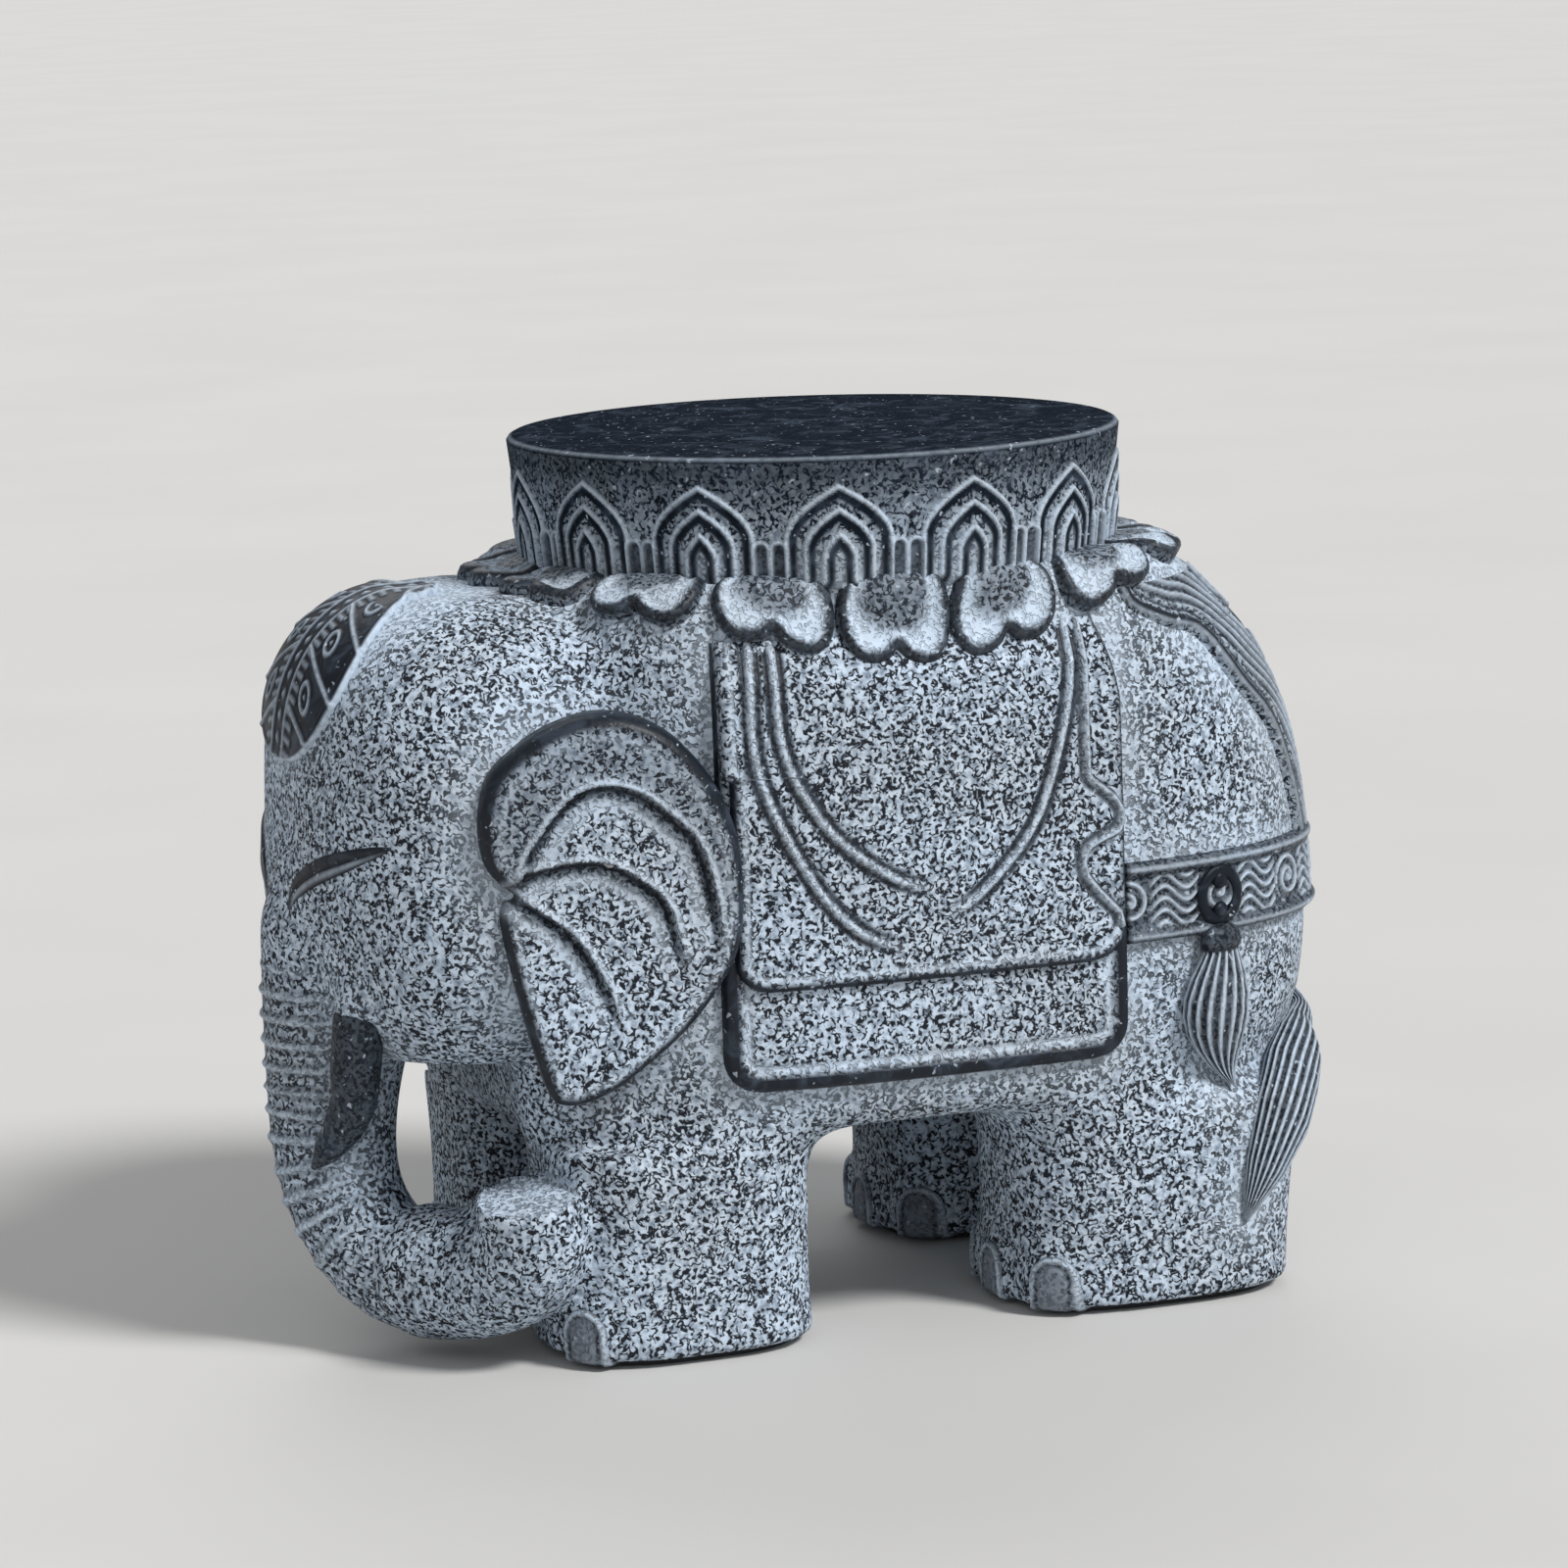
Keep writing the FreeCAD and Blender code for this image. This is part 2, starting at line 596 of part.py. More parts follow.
def cloth_wire():
    """The upper cloth's back edge has a round notch with a lobe above it."""
    edges = saddle_outline(CLOTH_FRONT_X, CLOTH_BACK_X, CLOTH_BASE_Z)
    inner_x = CLOTH_BACK_X - CLOTH_NOTCH
    low_z = CLOTH_BASE_Z + SADDLE_CORNER
    notch = [Vector(CLOTH_BACK_X, 0, low_z + step * CLOTH_NOTCH_HEIGHT / 2) for step in (0, 1, 2)]
    lobe_mid = notch[2] + Vector(0, 0, CLOTH_NOTCH_HEIGHT / 2)
    lobe_end = notch[2] + Vector(-CLOTH_NOTCH, 0, CLOTH_NOTCH_HEIGHT)
    top = Vector(inner_x, 0, COLLAR_BASE_Z)
    edges += [
        Part.Arc(notch[0], notch[1] - Vector(CLOTH_NOTCH, 0, 0), notch[2]).toShape(),
        Part.Arc(notch[2], lobe_mid, lobe_end).toShape(),
        Part.makeLine(lobe_end, top),
        Part.makeLine(top, Vector(CLOTH_FRONT_X, 0, COLLAR_BASE_Z)),
    ]
    return Part.Wire(edges)


def crupper_band():
    """Band round the rump with two rolled edges, from one skirt's back edge to the other's."""
    corner = Vector(SKIRT_BACK_X, -BODY_WIDTH, CRUPPER_BASE_Z)
    block = Part.makeBox(FAR, 2 * BODY_WIDTH, CRUPPER_HEIGHT, corner)
    low_roll = Part.makeBox(FAR, 2 * BODY_WIDTH, CRUPPER_ROLL, corner)
    top_roll = low_roll.translated(UP * (CRUPPER_HEIGHT - CRUPPER_ROLL))
    rolls = relief_shell.common(low_roll.fuse(top_roll))
    return band_shell.common(block).fuse(rolls)


def rump_edge_y(z):
    """Half width of the rump strap at a level."""
    share = (z - CRUPPER_TOP_Z) / (COLLAR_TOP_Z - CRUPPER_TOP_Z)
    return (RUMP_CLOTH_LOW_WIDTH + share * (RUMP_CLOTH_TOP_WIDTH - RUMP_CLOTH_LOW_WIDTH)) / 2


def rump_prism(corners):
    """Prism of an outline that is seen from behind."""
    points = [Vector(SKIRT_BACK_X, y, z) for y, z in corners]
    return Part.Face(Part.makePolygon(points + points[:1])).extrude(Vector(FAR, 0, 0))


def rump_rib(side, inset, width, low_z):
    """Rib beside one slanting edge of the rump strap, from a level up to the collar."""
    corners = []
    for z, offset in ((low_z, 0), (low_z, width), (COLLAR_TOP_Z, width), (COLLAR_TOP_Z, 0)):
        corners.append((side * (rump_edge_y(z) - inset - offset), z))
    return rump_prism(corners)


def rump_scroll(side, rise):
    """Ring with an eye in its middle, beside the feather ribs."""
    z = CRUPPER_TOP_Z + rise
    y = rump_edge_y(z) - RUMP_BORDER - SCROLL_RADIUS - SCROLL_LINE
    centre = Vector(SKIRT_BACK_X, side * y, z)
    aim = Vector(1, 0, 0)
    ring = Part.makeCylinder(SCROLL_RADIUS, FAR, centre, aim)
    ring = ring.cut(Part.makeCylinder(SCROLL_RADIUS - SCROLL_LINE, FAR, centre, aim))
    return ring.fuse(Part.makeCylinder(SCROLL_LINE, FAR, centre, aim))


def rump_cloth():
    """Wide strap over the top of the rump, with raised edges, feather ribs and scrolls."""
    half_widths = [(z, rump_edge_y(z)) for z in (CRUPPER_TOP_Z, COLLAR_TOP_Z)]
    corners = [(-half, z) for z, half in half_widths] + [(half, z) for z, half in reversed(half_widths)]
    reliefs = []
    for side in SIDES.values():
        reliefs.append(rump_rib(side, 0, RUMP_BORDER, CRUPPER_TOP_Z))
        for number in range(1, RUMP_RIB_COUNT + 1):
            inset = RUMP_BORDER + number * RUMP_RIB_PITCH - RUMP_RIB_WIDTH
            reliefs.append(rump_rib(side, inset, RUMP_RIB_WIDTH, CRUPPER_TOP_Z + RUMP_RIB_RISE))
        reliefs += [rump_scroll(side, rise) for rise in SCROLL_RISES]
    carving = relief_shell.common(reliefs[0].fuse(reliefs[1:]))
    collar_space = Part.makeCylinder(COLLAR_RADIUS, COLLAR_DROP, Vector(SEAT_X, 0, COLLAR_BASE_Z))
    return band_shell.common(rump_prism(corners)).fuse(carving).cut(collar_space)


def headdress():
    """Leaf of low relief over the crown, its tip on the forehead."""
    aim = Vector(-1, 0, 1).normalize()
    down = Vector(-1, 0, -1).normalize()
    tip = Vector(HEAD_FRONT_X, 0, HEADDRESS_TIP_Z)
    base = tip - down * HEADDRESS_LENGTH
    half = Vector(0, HEADDRESS_WIDTH / 2, 0)
    middle = (tip + base) * 0.5
    edges = [
        Part.Arc(tip, middle + half, base).toShape(),
        Part.Arc(base, middle - half, tip).toShape(),
    ]
    leaf = Part.Face(Part.Wire(edges))
    leaf.translate(aim * -HEAD_WALL)
    prism = leaf.extrude(aim * FAR)
    return head_form(BAND_THICKNESS).common(prism).cut([head_outer, torso_outer, collar_block])


def tassel():
    """Left tassel, turned about an upright axis that lies on the crupper's face."""
    points = [Vector(0, 0, TASSEL_TOP_Z)]
    for radius, height in TASSEL_FORM:
        points.append(Vector(radius * TASSEL_RADIUS, 0, TASSEL_TOP_Z - TASSEL_LENGTH * (1 - height)))
    points.append(Vector(0, 0, TASSEL_TOP_Z - TASSEL_LENGTH))
    profile = Part.Face(Part.makePolygon(points + points[:1]))
    turned = profile.revolve(Vector(0, 0, 0), UP, 360)
    turned.translate(Vector(TASSEL_X, -flank_y(TASSEL_X) - BAND_THICKNESS, 0))
    return turned


def tail():
    tip_y = BODY_WIDTH / 2 - TAIL_TIP_INSET
    tip_z = TAIL_ROOT_Z - TAIL_LENGTH
    stations = []
    for inset, swing, height, thickness in TAIL_FORM:
        point = Vector(RUMP_X - inset * TAIL_DEPTH, -swing * tip_y, tip_z + height * TAIL_LENGTH)
        stations.append((point, thickness * TAIL_RADIUS))
    return round_stations(stations)


# Outer forms that the neighbouring pieces are cut by, so that they meet face to face
torso_outer = torso_form()
head_outer = head_form()
skirt_outer = torso_form(SKIRT_THICKNESS)
band_shell = torso_form(BAND_THICKNESS).cut(torso_outer)
relief_shell = torso_form(BAND_THICKNESS + HARNESS_RELIEF).cut(torso_outer)
collar_block = petal_collar()

dowels = {
    "leg_dowels": leg_dowels(),
    "head_dowels": head_dowels(),
    "seat_dowels": seat_dowels(),
    "ear_dowels": ear_dowels(),
    "trunk_dowel": trunk_dowel(),
    "tail_dowel": tail_dowel(),
}

nodes = {}
for name, pairs in dowels.items():
    nodes[name] = Part.makeCompound([pin for pin, socket in pairs])

torso = torso_outer.cut(torso_form(-BODY_WALL))
for name in ("leg_dowels", "head_dowels", "seat_dowels", "ear_dowels", "tail_dowel"):
    torso = bored(torso, dowels[name])
nodes["torso_shell"] = torso

nodes["seat_drum"] = bored(seat_drum(), dowels["seat_dowels"])
nodes["petal_collar"] = bored(collar_block, dowels["seat_dowels"])

legs = {
    "front_leg": (FRONT_LEG_X, FRONT_LEG_Y, FRONT_LEG_LENGTH, FRONT_LEG_WIDTH, FRONT_LEG_FORM),
    "hind_leg": (HIND_LEG_X, HIND_LEG_Y, HIND_LEG_LENGTH, HIND_LEG_WIDTH, HIND_LEG_FORM),
}
pads = []
for name, sizes in legs.items():
    left_leg = leg(*sizes)
    left_pad = foot_pad(*sizes[:4])
    pads += [left_pad, mirrored(left_pad)]
    nodes[name + "_left"] = bored(left_leg, dowels["leg_dowels"])
    nodes[name + "_right"] = bored(mirrored(left_leg), dowels["leg_dowels"])
nodes["foot_pads"] = Part.makeCompound(pads)

stub, tenon, tenon_socket = tusk()
left_tusk = stub.cut(head_outer).fuse(tenon)
head_hollow = head_form(-HEAD_WALL).cut(torso_form(HEAD_WALL))
head = head_outer.cut([torso_outer, head_hollow, tenon_socket, mirrored(tenon_socket)])
for name in ("head_dowels", "ear_dowels", "trunk_dowel"):
    head = bored(head, dowels[name])
nodes["head"] = head

trunk_form = trunk().cut([head_outer, torso_outer, nodes["front_leg_left"]])
nodes["trunk"] = bored(trunk_form, dowels["trunk_dowel"])
nodes["tusk_left"] = left_tusk.cut(trunk_form)
nodes["tusk_right"] = mirrored(left_tusk).cut(trunk_form)

skirt_shell = skirt_outer.cut(torso_outer)
cloth_shell = torso_form(SKIRT_THICKNESS + CLOTH_THICKNESS).cut(skirt_outer)
for word, side in SIDES.items():
    nodes["saddle_skirt_" + word] = skirt_shell.common(side_prism(skirt_wire(), side))
    nodes["saddle_cloth_" + word] = cloth_shell.common(side_prism(cloth_wire(), side))

under_ear = [head_outer, torso_outer, nodes["front_leg_left"]]
under_ear += [nodes["saddle_skirt_left"], nodes["saddle_cloth_left"]]
left_ear = ear().cut(under_ear)
nodes["ear_left"] = bored(left_ear, dowels["ear_dowels"])
nodes["ear_right"] = bored(mirrored(left_ear), dowels["ear_dowels"])

nodes["crupper_band"] = crupper_band()
nodes["rump_cloth"] = rump_cloth()
nodes["headdress"] = headdress()
left_tassel = tassel().cut([torso_outer, nodes["crupper_band"]])
nodes["tassel_left"] = left_tassel
nodes["tassel_right"] = mirrored(left_tassel)
tail_form = tail().cut([torso_outer, nodes["hind_leg_left"]])
nodes["tail"] = bored(tail_form, dowels["tail_dowel"])

os.makedirs("parts", exist_ok=True)
for name, shape in nodes.items():
    shape.exportStep("parts/" + name + ".step")
    print(name, len(shape.Solids), shape.isValid(), round(shape.Volume / 1000, 2))
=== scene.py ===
import math

import bmesh
import bpy
import numpy as np
from mathutils import Matrix, Vector
from mathutils.bvhtree import BVHTree


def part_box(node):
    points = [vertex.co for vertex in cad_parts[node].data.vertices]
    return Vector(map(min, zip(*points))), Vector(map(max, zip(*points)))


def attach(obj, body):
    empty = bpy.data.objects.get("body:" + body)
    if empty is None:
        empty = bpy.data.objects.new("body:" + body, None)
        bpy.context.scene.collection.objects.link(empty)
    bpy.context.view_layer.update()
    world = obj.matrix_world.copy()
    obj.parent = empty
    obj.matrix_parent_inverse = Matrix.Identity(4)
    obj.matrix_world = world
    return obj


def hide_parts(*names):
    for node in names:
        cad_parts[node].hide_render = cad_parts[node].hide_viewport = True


# Elephant stool of dark cast stone with a pale wash. Metres; +Z is up, the head looks along -X and the
# animal's left side is -Y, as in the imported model.
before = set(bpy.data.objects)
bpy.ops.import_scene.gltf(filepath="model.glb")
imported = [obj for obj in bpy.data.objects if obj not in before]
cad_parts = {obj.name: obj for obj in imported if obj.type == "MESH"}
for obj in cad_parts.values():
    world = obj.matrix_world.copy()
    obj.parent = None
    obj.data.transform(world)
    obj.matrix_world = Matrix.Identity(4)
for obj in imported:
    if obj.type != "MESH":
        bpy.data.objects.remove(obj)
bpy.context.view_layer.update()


# Body skin. Torso, head, trunk and legs are stone castings, the first two hollow, pinned together and
# bonded. The joints are filled and dressed over, so one skin of chiselled stone runs across all of them.
SKIN_STEP = 0.0023
SKIN_PASSES = 6
NECK_PASSES = 22
NECK_REACH = 0.016
BELLY_PASSES = 110
BELLY_REACH = 0.032
NECK_BACK_X = -0.06
HEAD_LEG_X = -0.137
WASH_REACH = 0.007
TRIM_WASH = 0.6
SIDES = {"left": -1, "right": 1}
PAIRED_TRIMS = ("ear", "saddle_cloth", "saddle_skirt", "tassel", "tusk")
SINGLE_TRIMS = ("petal_collar", "crupper_band", "rump_cloth", "headdress", "tail")
BELLY_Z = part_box("torso_shell")[0].z
CHIN_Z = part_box("head")[0].z
drum_low, drum_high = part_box("seat_drum")
SEAT_X = (drum_low.x + drum_high.x) / 2

X, Y, Z = Vector((1, 0, 0)), Vector((0, 1, 0)), Vector((0, 0, 1))
NECK, MIDDLE = Vector((-0.140, 0, 0)), Vector((0.02, 0, 0))
BELLY, CHIN = Vector((0, 0, BELLY_Z)), Vector((0, 0, CHIN_Z))
DRESSED_CUTS = {
    "torso_shell": ((NECK, -X), (BELLY, -Z)),
    "head": ((NECK, X), (CHIN, -Z)),
    "trunk": ((NECK, X), (CHIN, Z)),
    "front_leg_left": ((NECK, -X), (BELLY, Z), (MIDDLE, X), (Vector(), Y)),
    "front_leg_right": ((NECK, -X), (BELLY, Z), (MIDDLE, X), (Vector(), -Y)),
    "hind_leg_left": ((BELLY, Z), (MIDDLE, -X), (Vector(), Y)),
    "hind_leg_right": ((BELLY, Z), (MIDDLE, -X), (Vector(), -Y)),
}

SHOULDER_TOP_RADIUS = 0.129
SHOULDER_LOW_RADIUS = 0.123
SHOULDER_HEIGHT = 0.03
SHOULDER_DROP = 0.006
CHEST_PLACE = (-0.112, 0.062, 0.112)
CHEST_RADII = (0.036, 0.040, 0.040)
SOCKET_ENDS = ((-0.2040, 0.0470, 0.1740), (-0.2090, 0.0505, 0.1475))
SOCKET_RADIUS = 0.0135

BRIDGE_FILL = 0.0045
BRIDGE_Z = 0.197
BRIDGE_REACH = 0.034
BRIDGE_HALF_WIDTH = 0.070
BRIDGE_FRONT_X = -0.185
BRIDGE_EASE = 0.02

TRUNK_TIP = ((-0.1830, -0.0360, 0.0340), (-0.1660, -0.0680, 0.0370), (-0.1540, -0.0915, 0.0490),
             (-0.1555, -0.0985, 0.0745))
TRUNK_TIP_RADII = (0.0290, 0.0260, 0.0235, 0.0215)
TRUNK_TIP_CLEAR = 0.046
STUMP_OVERLAP = 0.006
TIP_FACE_REACH = 0.005
TIP_FACE_INSET = 0.001
TIP_WASH = 0.4
TRUNK_LINE = ((-0.208, 0.000, 0.170), (-0.2086, -0.001, 0.115), (-0.2105, -0.004, 0.080),
              (-0.2037, -0.015, 0.051), (-0.1838, -0.034, 0.032), (-0.164, -0.054, 0.038),
              (-0.151, -0.068, 0.054))
RIB_PITCH = 0.0108
RIB_HEIGHT = 0.0016
RIB_WIDTH = 0.0026
RIB_RUN = 0.150
RIB_MEAN = 0.35
RIB_HALF_LENGTH = 0.040
RIB_TOP_Z = 0.172
RIB_BACK_X = -0.150
RIB_BEND = (-0.150, -0.010, 0.090)
RIB_LEAST_FACING = 0.35
RIB_FACING_EASE = 0.3
RIB_END_EASE = 0.004
RIB_TOP_EASE = 0.02
RIB_BACK_EASE = 0.01
RIB_RUN_EASE = 0.035
RIB_DARK = 0.55
RIB_WASH = 0.8
# Back, half width, bottom and top of the places with a finer mesh: the face, then the trunk's front.
FINE_PLACES = ((-0.178, 0.098, 0.178, 0.240), (-0.158, 0.075, -1.0, 0.178))


def fall(distance, reach):
    """One at no distance, easing to nothing at the reach."""
    share = np.clip(1 - distance / reach, 0, 1)
    return share * share * (3 - 2 * share)


def ridge(value, crest, reach):
    """One where a value is at the crest, easing to nothing a reach away on both sides."""
    return fall(np.abs(value - crest), reach)


def ramp(low, high, reach):
    """Nothing while the high value is below the low one, rising to one where it is a reach above it."""
    return np.clip((high - low) / reach, 0, 1)


def in_cell(value, pitch, shift=0.5):
    """Place in a repeated cell, from -0.5 to 0.5."""
    return (value / pitch + shift) % 1.0 - 0.5


def unit(vectors):
    return vectors / np.linalg.norm(vectors, axis=-1, keepdims=True)


def spread(values, count):
    """Listed values spread evenly over a number of steps."""
    return np.interp(np.linspace(0, len(values) - 1, count), range(len(values)), values)


def mirrored(points, side):
    """Points of the right side, on the given side."""
    return np.array(points) * (1, side, 1)


def curve_through(points, closed=False, per_span=10):
    """Smooth line through given points."""
    points = np.array(points, float)
    if closed:
        padded = np.vstack([points[-1:], points, points[:2]])
    else:
        padded = np.vstack([2 * points[:1] - points[1:2], points, 2 * points[-1:] - points[-2:-1]])
    steps = np.linspace(0, 1, per_span, endpoint=False)[:, None]
    line = []
    for before, start, end, after in zip(padded, padded[1:], padded[2:], padded[3:]):
        line.append(0.5 * (2 * start + (end - before) * steps
                           + (2 * before - 5 * start + 4 * end - after) * steps ** 2
                           + (3 * start - before - 3 * end + after) * steps ** 3))
    return np.vstack(line if closed else line + [points[-1:]])


def line_distance(points, line):
    """Distance of each point from a line, and how far along the line its nearest place lies."""
    best = np.full(len(points), np.inf)
    along = np.zeros(len(points))
    travelled = 0.0
    for start, end in zip(line[:-1], line[1:]):
        run = end - start
        length = np.linalg.norm(run)
        share = np.clip((points - start) @ run / max(length * length, 1e-12), 0, 1)
        distance = np.linalg.norm(points - start - share[:, None] * run, axis=1)
        nearer = distance < best
        best[nearer] = distance[nearer]
        along[nearer] = travelled + share[nearer] * length
        travelled += length
    return best, along


def casting_copy(node):
    """Copy of a casting's mesh with its loose triangles joined."""
    piece = bmesh.new()
    piece.from_mesh(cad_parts[node].data)
    bmesh.ops.remove_doubles(piece, verts=piece.verts, dist=1e-6)
    return piece


def to_mesh(name, bm):
    """Makes a mesh of a bmesh, and frees it."""
    mesh = bpy.data.meshes.new(name)
    bm.to_mesh(mesh)
    bm.free()
    return mesh


def link(name, data):
    """Adds an object to the scene."""
    thing = bpy.data.objects.new(name, data)
    bpy.context.scene.collection.objects.link(thing)
    return thing


def gather(target, source):
    """Adds one mesh to another."""
    mesh = to_mesh("gathered", source)
    target.from_mesh(mesh)
    bpy.data.meshes.remove(mesh)


def places(verts):
    return np.array([vert.co[:] for vert in verts])


def outward(verts):
    return np.array([vert.normal[:] for vert in verts])


def move_to(verts, points):
    for vert, point in zip(verts, points):
        vert.co = point


def set_shares(bm, polish, wash):
    """Gives each vertex its dark, rubbed share and its pale, washed share."""
    for name, shares in (("polish", polish), ("wash", wash)):
        layer = bm.verts.layers.float.new(name)
        for vert, share in zip(bm.verts, np.broadcast_to(shares, len(bm.verts))):
            vert[layer] = share


def add_rod(bm, start, end, radius, overlap=0.0):
    """Adds a round rod from one point to another, or past it by an overlap."""
    turn = (end - start).to_track_quat("Z", "Y").to_matrix().to_4x4()
    past = (end - start).normalized() * overlap
    bmesh.ops.create_cone(bm, cap_ends=True, segments=48, radius1=radius, radius2=radius,
                          depth=(end + past - start).length,
                          matrix=Matrix.Translation((start + end + past) / 2) @ turn)


def largest_island(bm):
    """Drops every loose part but the largest."""
    left = set(bm.verts)
    islands = []
    while left:
        island = [left.pop()]
        for vert in island:
            near = {edge.other_vert(vert) for edge in vert.link_edges} & left
            left -= near
            island += near
        islands.append(island)
    largest = set(max(islands, key=len))
    bmesh.ops.delete(bm, geom=[vert for vert in bm.verts if vert not in largest], context="VERTS")


def smooth(bm, verts, passes):
    for _ in range(passes):
        bmesh.ops.smooth_vert(bm, verts=verts, factor=0.5, use_axis_x=True, use_axis_y=True,
                              use_axis_z=True)


rough = bmesh.new()
for casting in DRESSED_CUTS:
    gather(rough, casting_copy(casting))
shoulder_place = Matrix.Translation((SEAT_X, 0, drum_low.z - SHOULDER_DROP - SHOULDER_HEIGHT / 2))
bmesh.ops.create_cone(rough, cap_ends=True, segments=160, radius1=SHOULDER_LOW_RADIUS,
                      radius2=SHOULDER_TOP_RADIUS, depth=SHOULDER_HEIGHT, matrix=shoulder_place)
for side in SIDES.values():
    chest_place = Matrix.Translation(mirrored(CHEST_PLACE, side)) @ Matrix.Diagonal(CHEST_RADII).to_4x4()
    bmesh.ops.create_uvsphere(rough, u_segments=64, v_segments=32, radius=1.0, matrix=chest_place)
    add_rod(rough, *[Vector(end) for end in mirrored(SOCKET_ENDS, side)], SOCKET_RADIUS)
tip_line = [Vector(point) for point in curve_through(TRUNK_TIP)]
tip_end = tip_line[-1]
tip_aim = np.array((tip_end - tip_line[-5]).normalized())
for start, end, radius in zip(tip_line[:-1], tip_line[1:], spread(TRUNK_TIP_RADII, len(tip_line))):
    add_rod(rough, start, end, radius, 0.0 if end == tip_end else STUMP_OVERLAP)
rough_body = link("rough_body", to_mesh("rough_body", rough))
skinning = rough_body.modifiers.new("skin", "REMESH")
skinning.mode = "VOXEL"
skinning.voxel_size = SKIN_STEP
skin = rough_body.evaluated_get(bpy.context.evaluated_depsgraph_get())
body = bmesh.new()
body.from_mesh(bpy.data.meshes.new_from_object(skin))
bpy.data.objects.remove(rough_body)
largest_island(body)
smooth(body, body.verts, SKIN_PASSES)
torso_tree = BVHTree.FromBMesh(casting_copy("torso_shell"))
at_neck = []
at_belly = []
for vert in body.verts:
    if (vert.co - tip_end).length < TRUNK_TIP_CLEAR:
        continue
    if abs(vert.co.z - BELLY_Z) < BELLY_REACH and vert.co.x > HEAD_LEG_X:
        at_belly.append(vert)
    elif vert.co.x < NECK_BACK_X and torso_tree.find_nearest(vert.co, NECK_REACH)[0] is not None:
        at_neck.append(vert)
smooth(body, at_neck, NECK_PASSES)
smooth(body, at_belly, BELLY_PASSES)
for back_x, half_width, bottom_z, top_z in FINE_PLACES:
    fine = {vert for vert in body.verts
            if vert.co.x < back_x and bottom_z < vert.co.z < top_z and abs(vert.co.y) < half_width}
    edges = [edge for edge in body.edges if fine.issuperset(edge.verts)]
    bmesh.ops.subdivide_edges(body, edges=edges, cuts=1, use_grid_fill=True, smooth=0.4)
    bmesh.ops.triangulate(body, faces=[face for face in body.faces if len(face.verts) > 4])

points = places(body.verts)
bridge = fall(np.abs(points[:, 1]), BRIDGE_HALF_WIDTH) * ridge(points[:, 2], BRIDGE_Z, BRIDGE_REACH)
from_tip = points - np.array(tip_end)
beyond = from_tip @ tip_aim
aside = np.linalg.norm(from_tip - beyond[:, None] * tip_aim, axis=1)
on_tip = (np.abs(beyond) < TIP_FACE_REACH) & (aside < TRUNK_TIP_RADII[-1] - TIP_FACE_INSET)
points -= np.where(on_tip, beyond, 0)[:, None] * tip_aim
points[:, 0] -= BRIDGE_FILL * bridge * ramp(points[:, 0], BRIDGE_FRONT_X, BRIDGE_EASE)
move_to(body.verts, points)
body.normal_update()

points = places(body.verts)
facing = outward(body.verts)
distance, along = line_distance(points, curve_through(TRUNK_LINE))
wave = np.abs(in_cell(along, RIB_PITCH, 0)) * RIB_PITCH
fronting = ramp(RIB_LEAST_FACING, (facing * unit(points - RIB_BEND)).sum(axis=1), RIB_FACING_EASE)
strip = ramp(distance, RIB_HALF_LENGTH, RIB_END_EASE) * fronting
strip *= ramp(points[:, 2], RIB_TOP_Z, RIB_TOP_EASE)
strip *= ramp(points[:, 0], RIB_BACK_X, RIB_BACK_EASE) * ramp(along, RIB_RUN, RIB_RUN_EASE)
lift = RIB_HEIGHT * strip * (fall(wave, RIB_WIDTH) - RIB_MEAN)
polish = RIB_DARK * strip * ridge(wave, RIB_WIDTH, RIB_WIDTH)
wash = np.maximum(np.where(on_tip, TIP_WASH, 0.0), RIB_WASH * strip * fall(wave, RIB_WIDTH * 0.8))
move_to(body.verts, points + facing * lift[:, None])
body.normal_update()

trims = bmesh.new()
for trim in SINGLE_TRIMS + tuple(f"{trim}_{word}" for trim in PAIRED_TRIMS for word in SIDES):
    gather(trims, casting_copy(trim))
trim_tree = BVHTree.FromBMesh(trims)
trims.free()
for index, vert in enumerate(body.verts):
    near = trim_tree.find_nearest(vert.co, 3 * WASH_REACH)[3]
    if near is not None:
        wash[index] = max(wash[index], TRIM_WASH * math.exp(-near / WASH_REACH))
set_shares(body, polish, wash)
body_tree = BVHTree.FromBMesh(body)

PIT_SLATE = (0.008, 0.011, 0.017, 1)
POLISHED_SLATE = (0.009, 0.013, 0.020, 1)
WORN_SLATE = (0.045, 0.060, 0.085, 1)
WASH_GREY = (0.115, 0.155, 0.215, 1)
PALE_WASH = (0.60, 0.71, 0.84, 1)
DUSTY_WASH = (0.55, 0.63, 0.72, 1)
PIT_SCALE = 350.0
PIT_WIDTH = 0.122


def plug(tree, inputs, sockets):
    """Links each socket that is given, and sets any other value."""
    for key, value in sockets.items():
        if isinstance(value, bpy.types.NodeSocket):
            tree.links.new(value, inputs[key])
        else:
            inputs[key].default_value = value


def add_node(tree, kind, sockets, **settings):
    node = tree.nodes.new(kind)
    for name, value in settings.items():
        setattr(node, name, value)
    plug(tree, node.inputs, sockets)
    return node


def blend_colour(tree, share, first, second):
    node = add_node(tree, "ShaderNodeMix", {0: share, 6: first, 7: second}, data_type="RGBA")
    return node.outputs[2]


def ease(tree, value, low, high, first, second):
    """Maps a value between two limits, with soft ends."""
    node = add_node(tree, "ShaderNodeMapRange", {0: value, 1: low, 2: high, 3: first, 4: second},
                    interpolation_type="SMOOTHSTEP")
    return node.outputs[0]


def math_node(tree, operation, first, second):
    return add_node(tree, "ShaderNodeMath", {0: first, 1: second}, operation=operation).outputs[0]


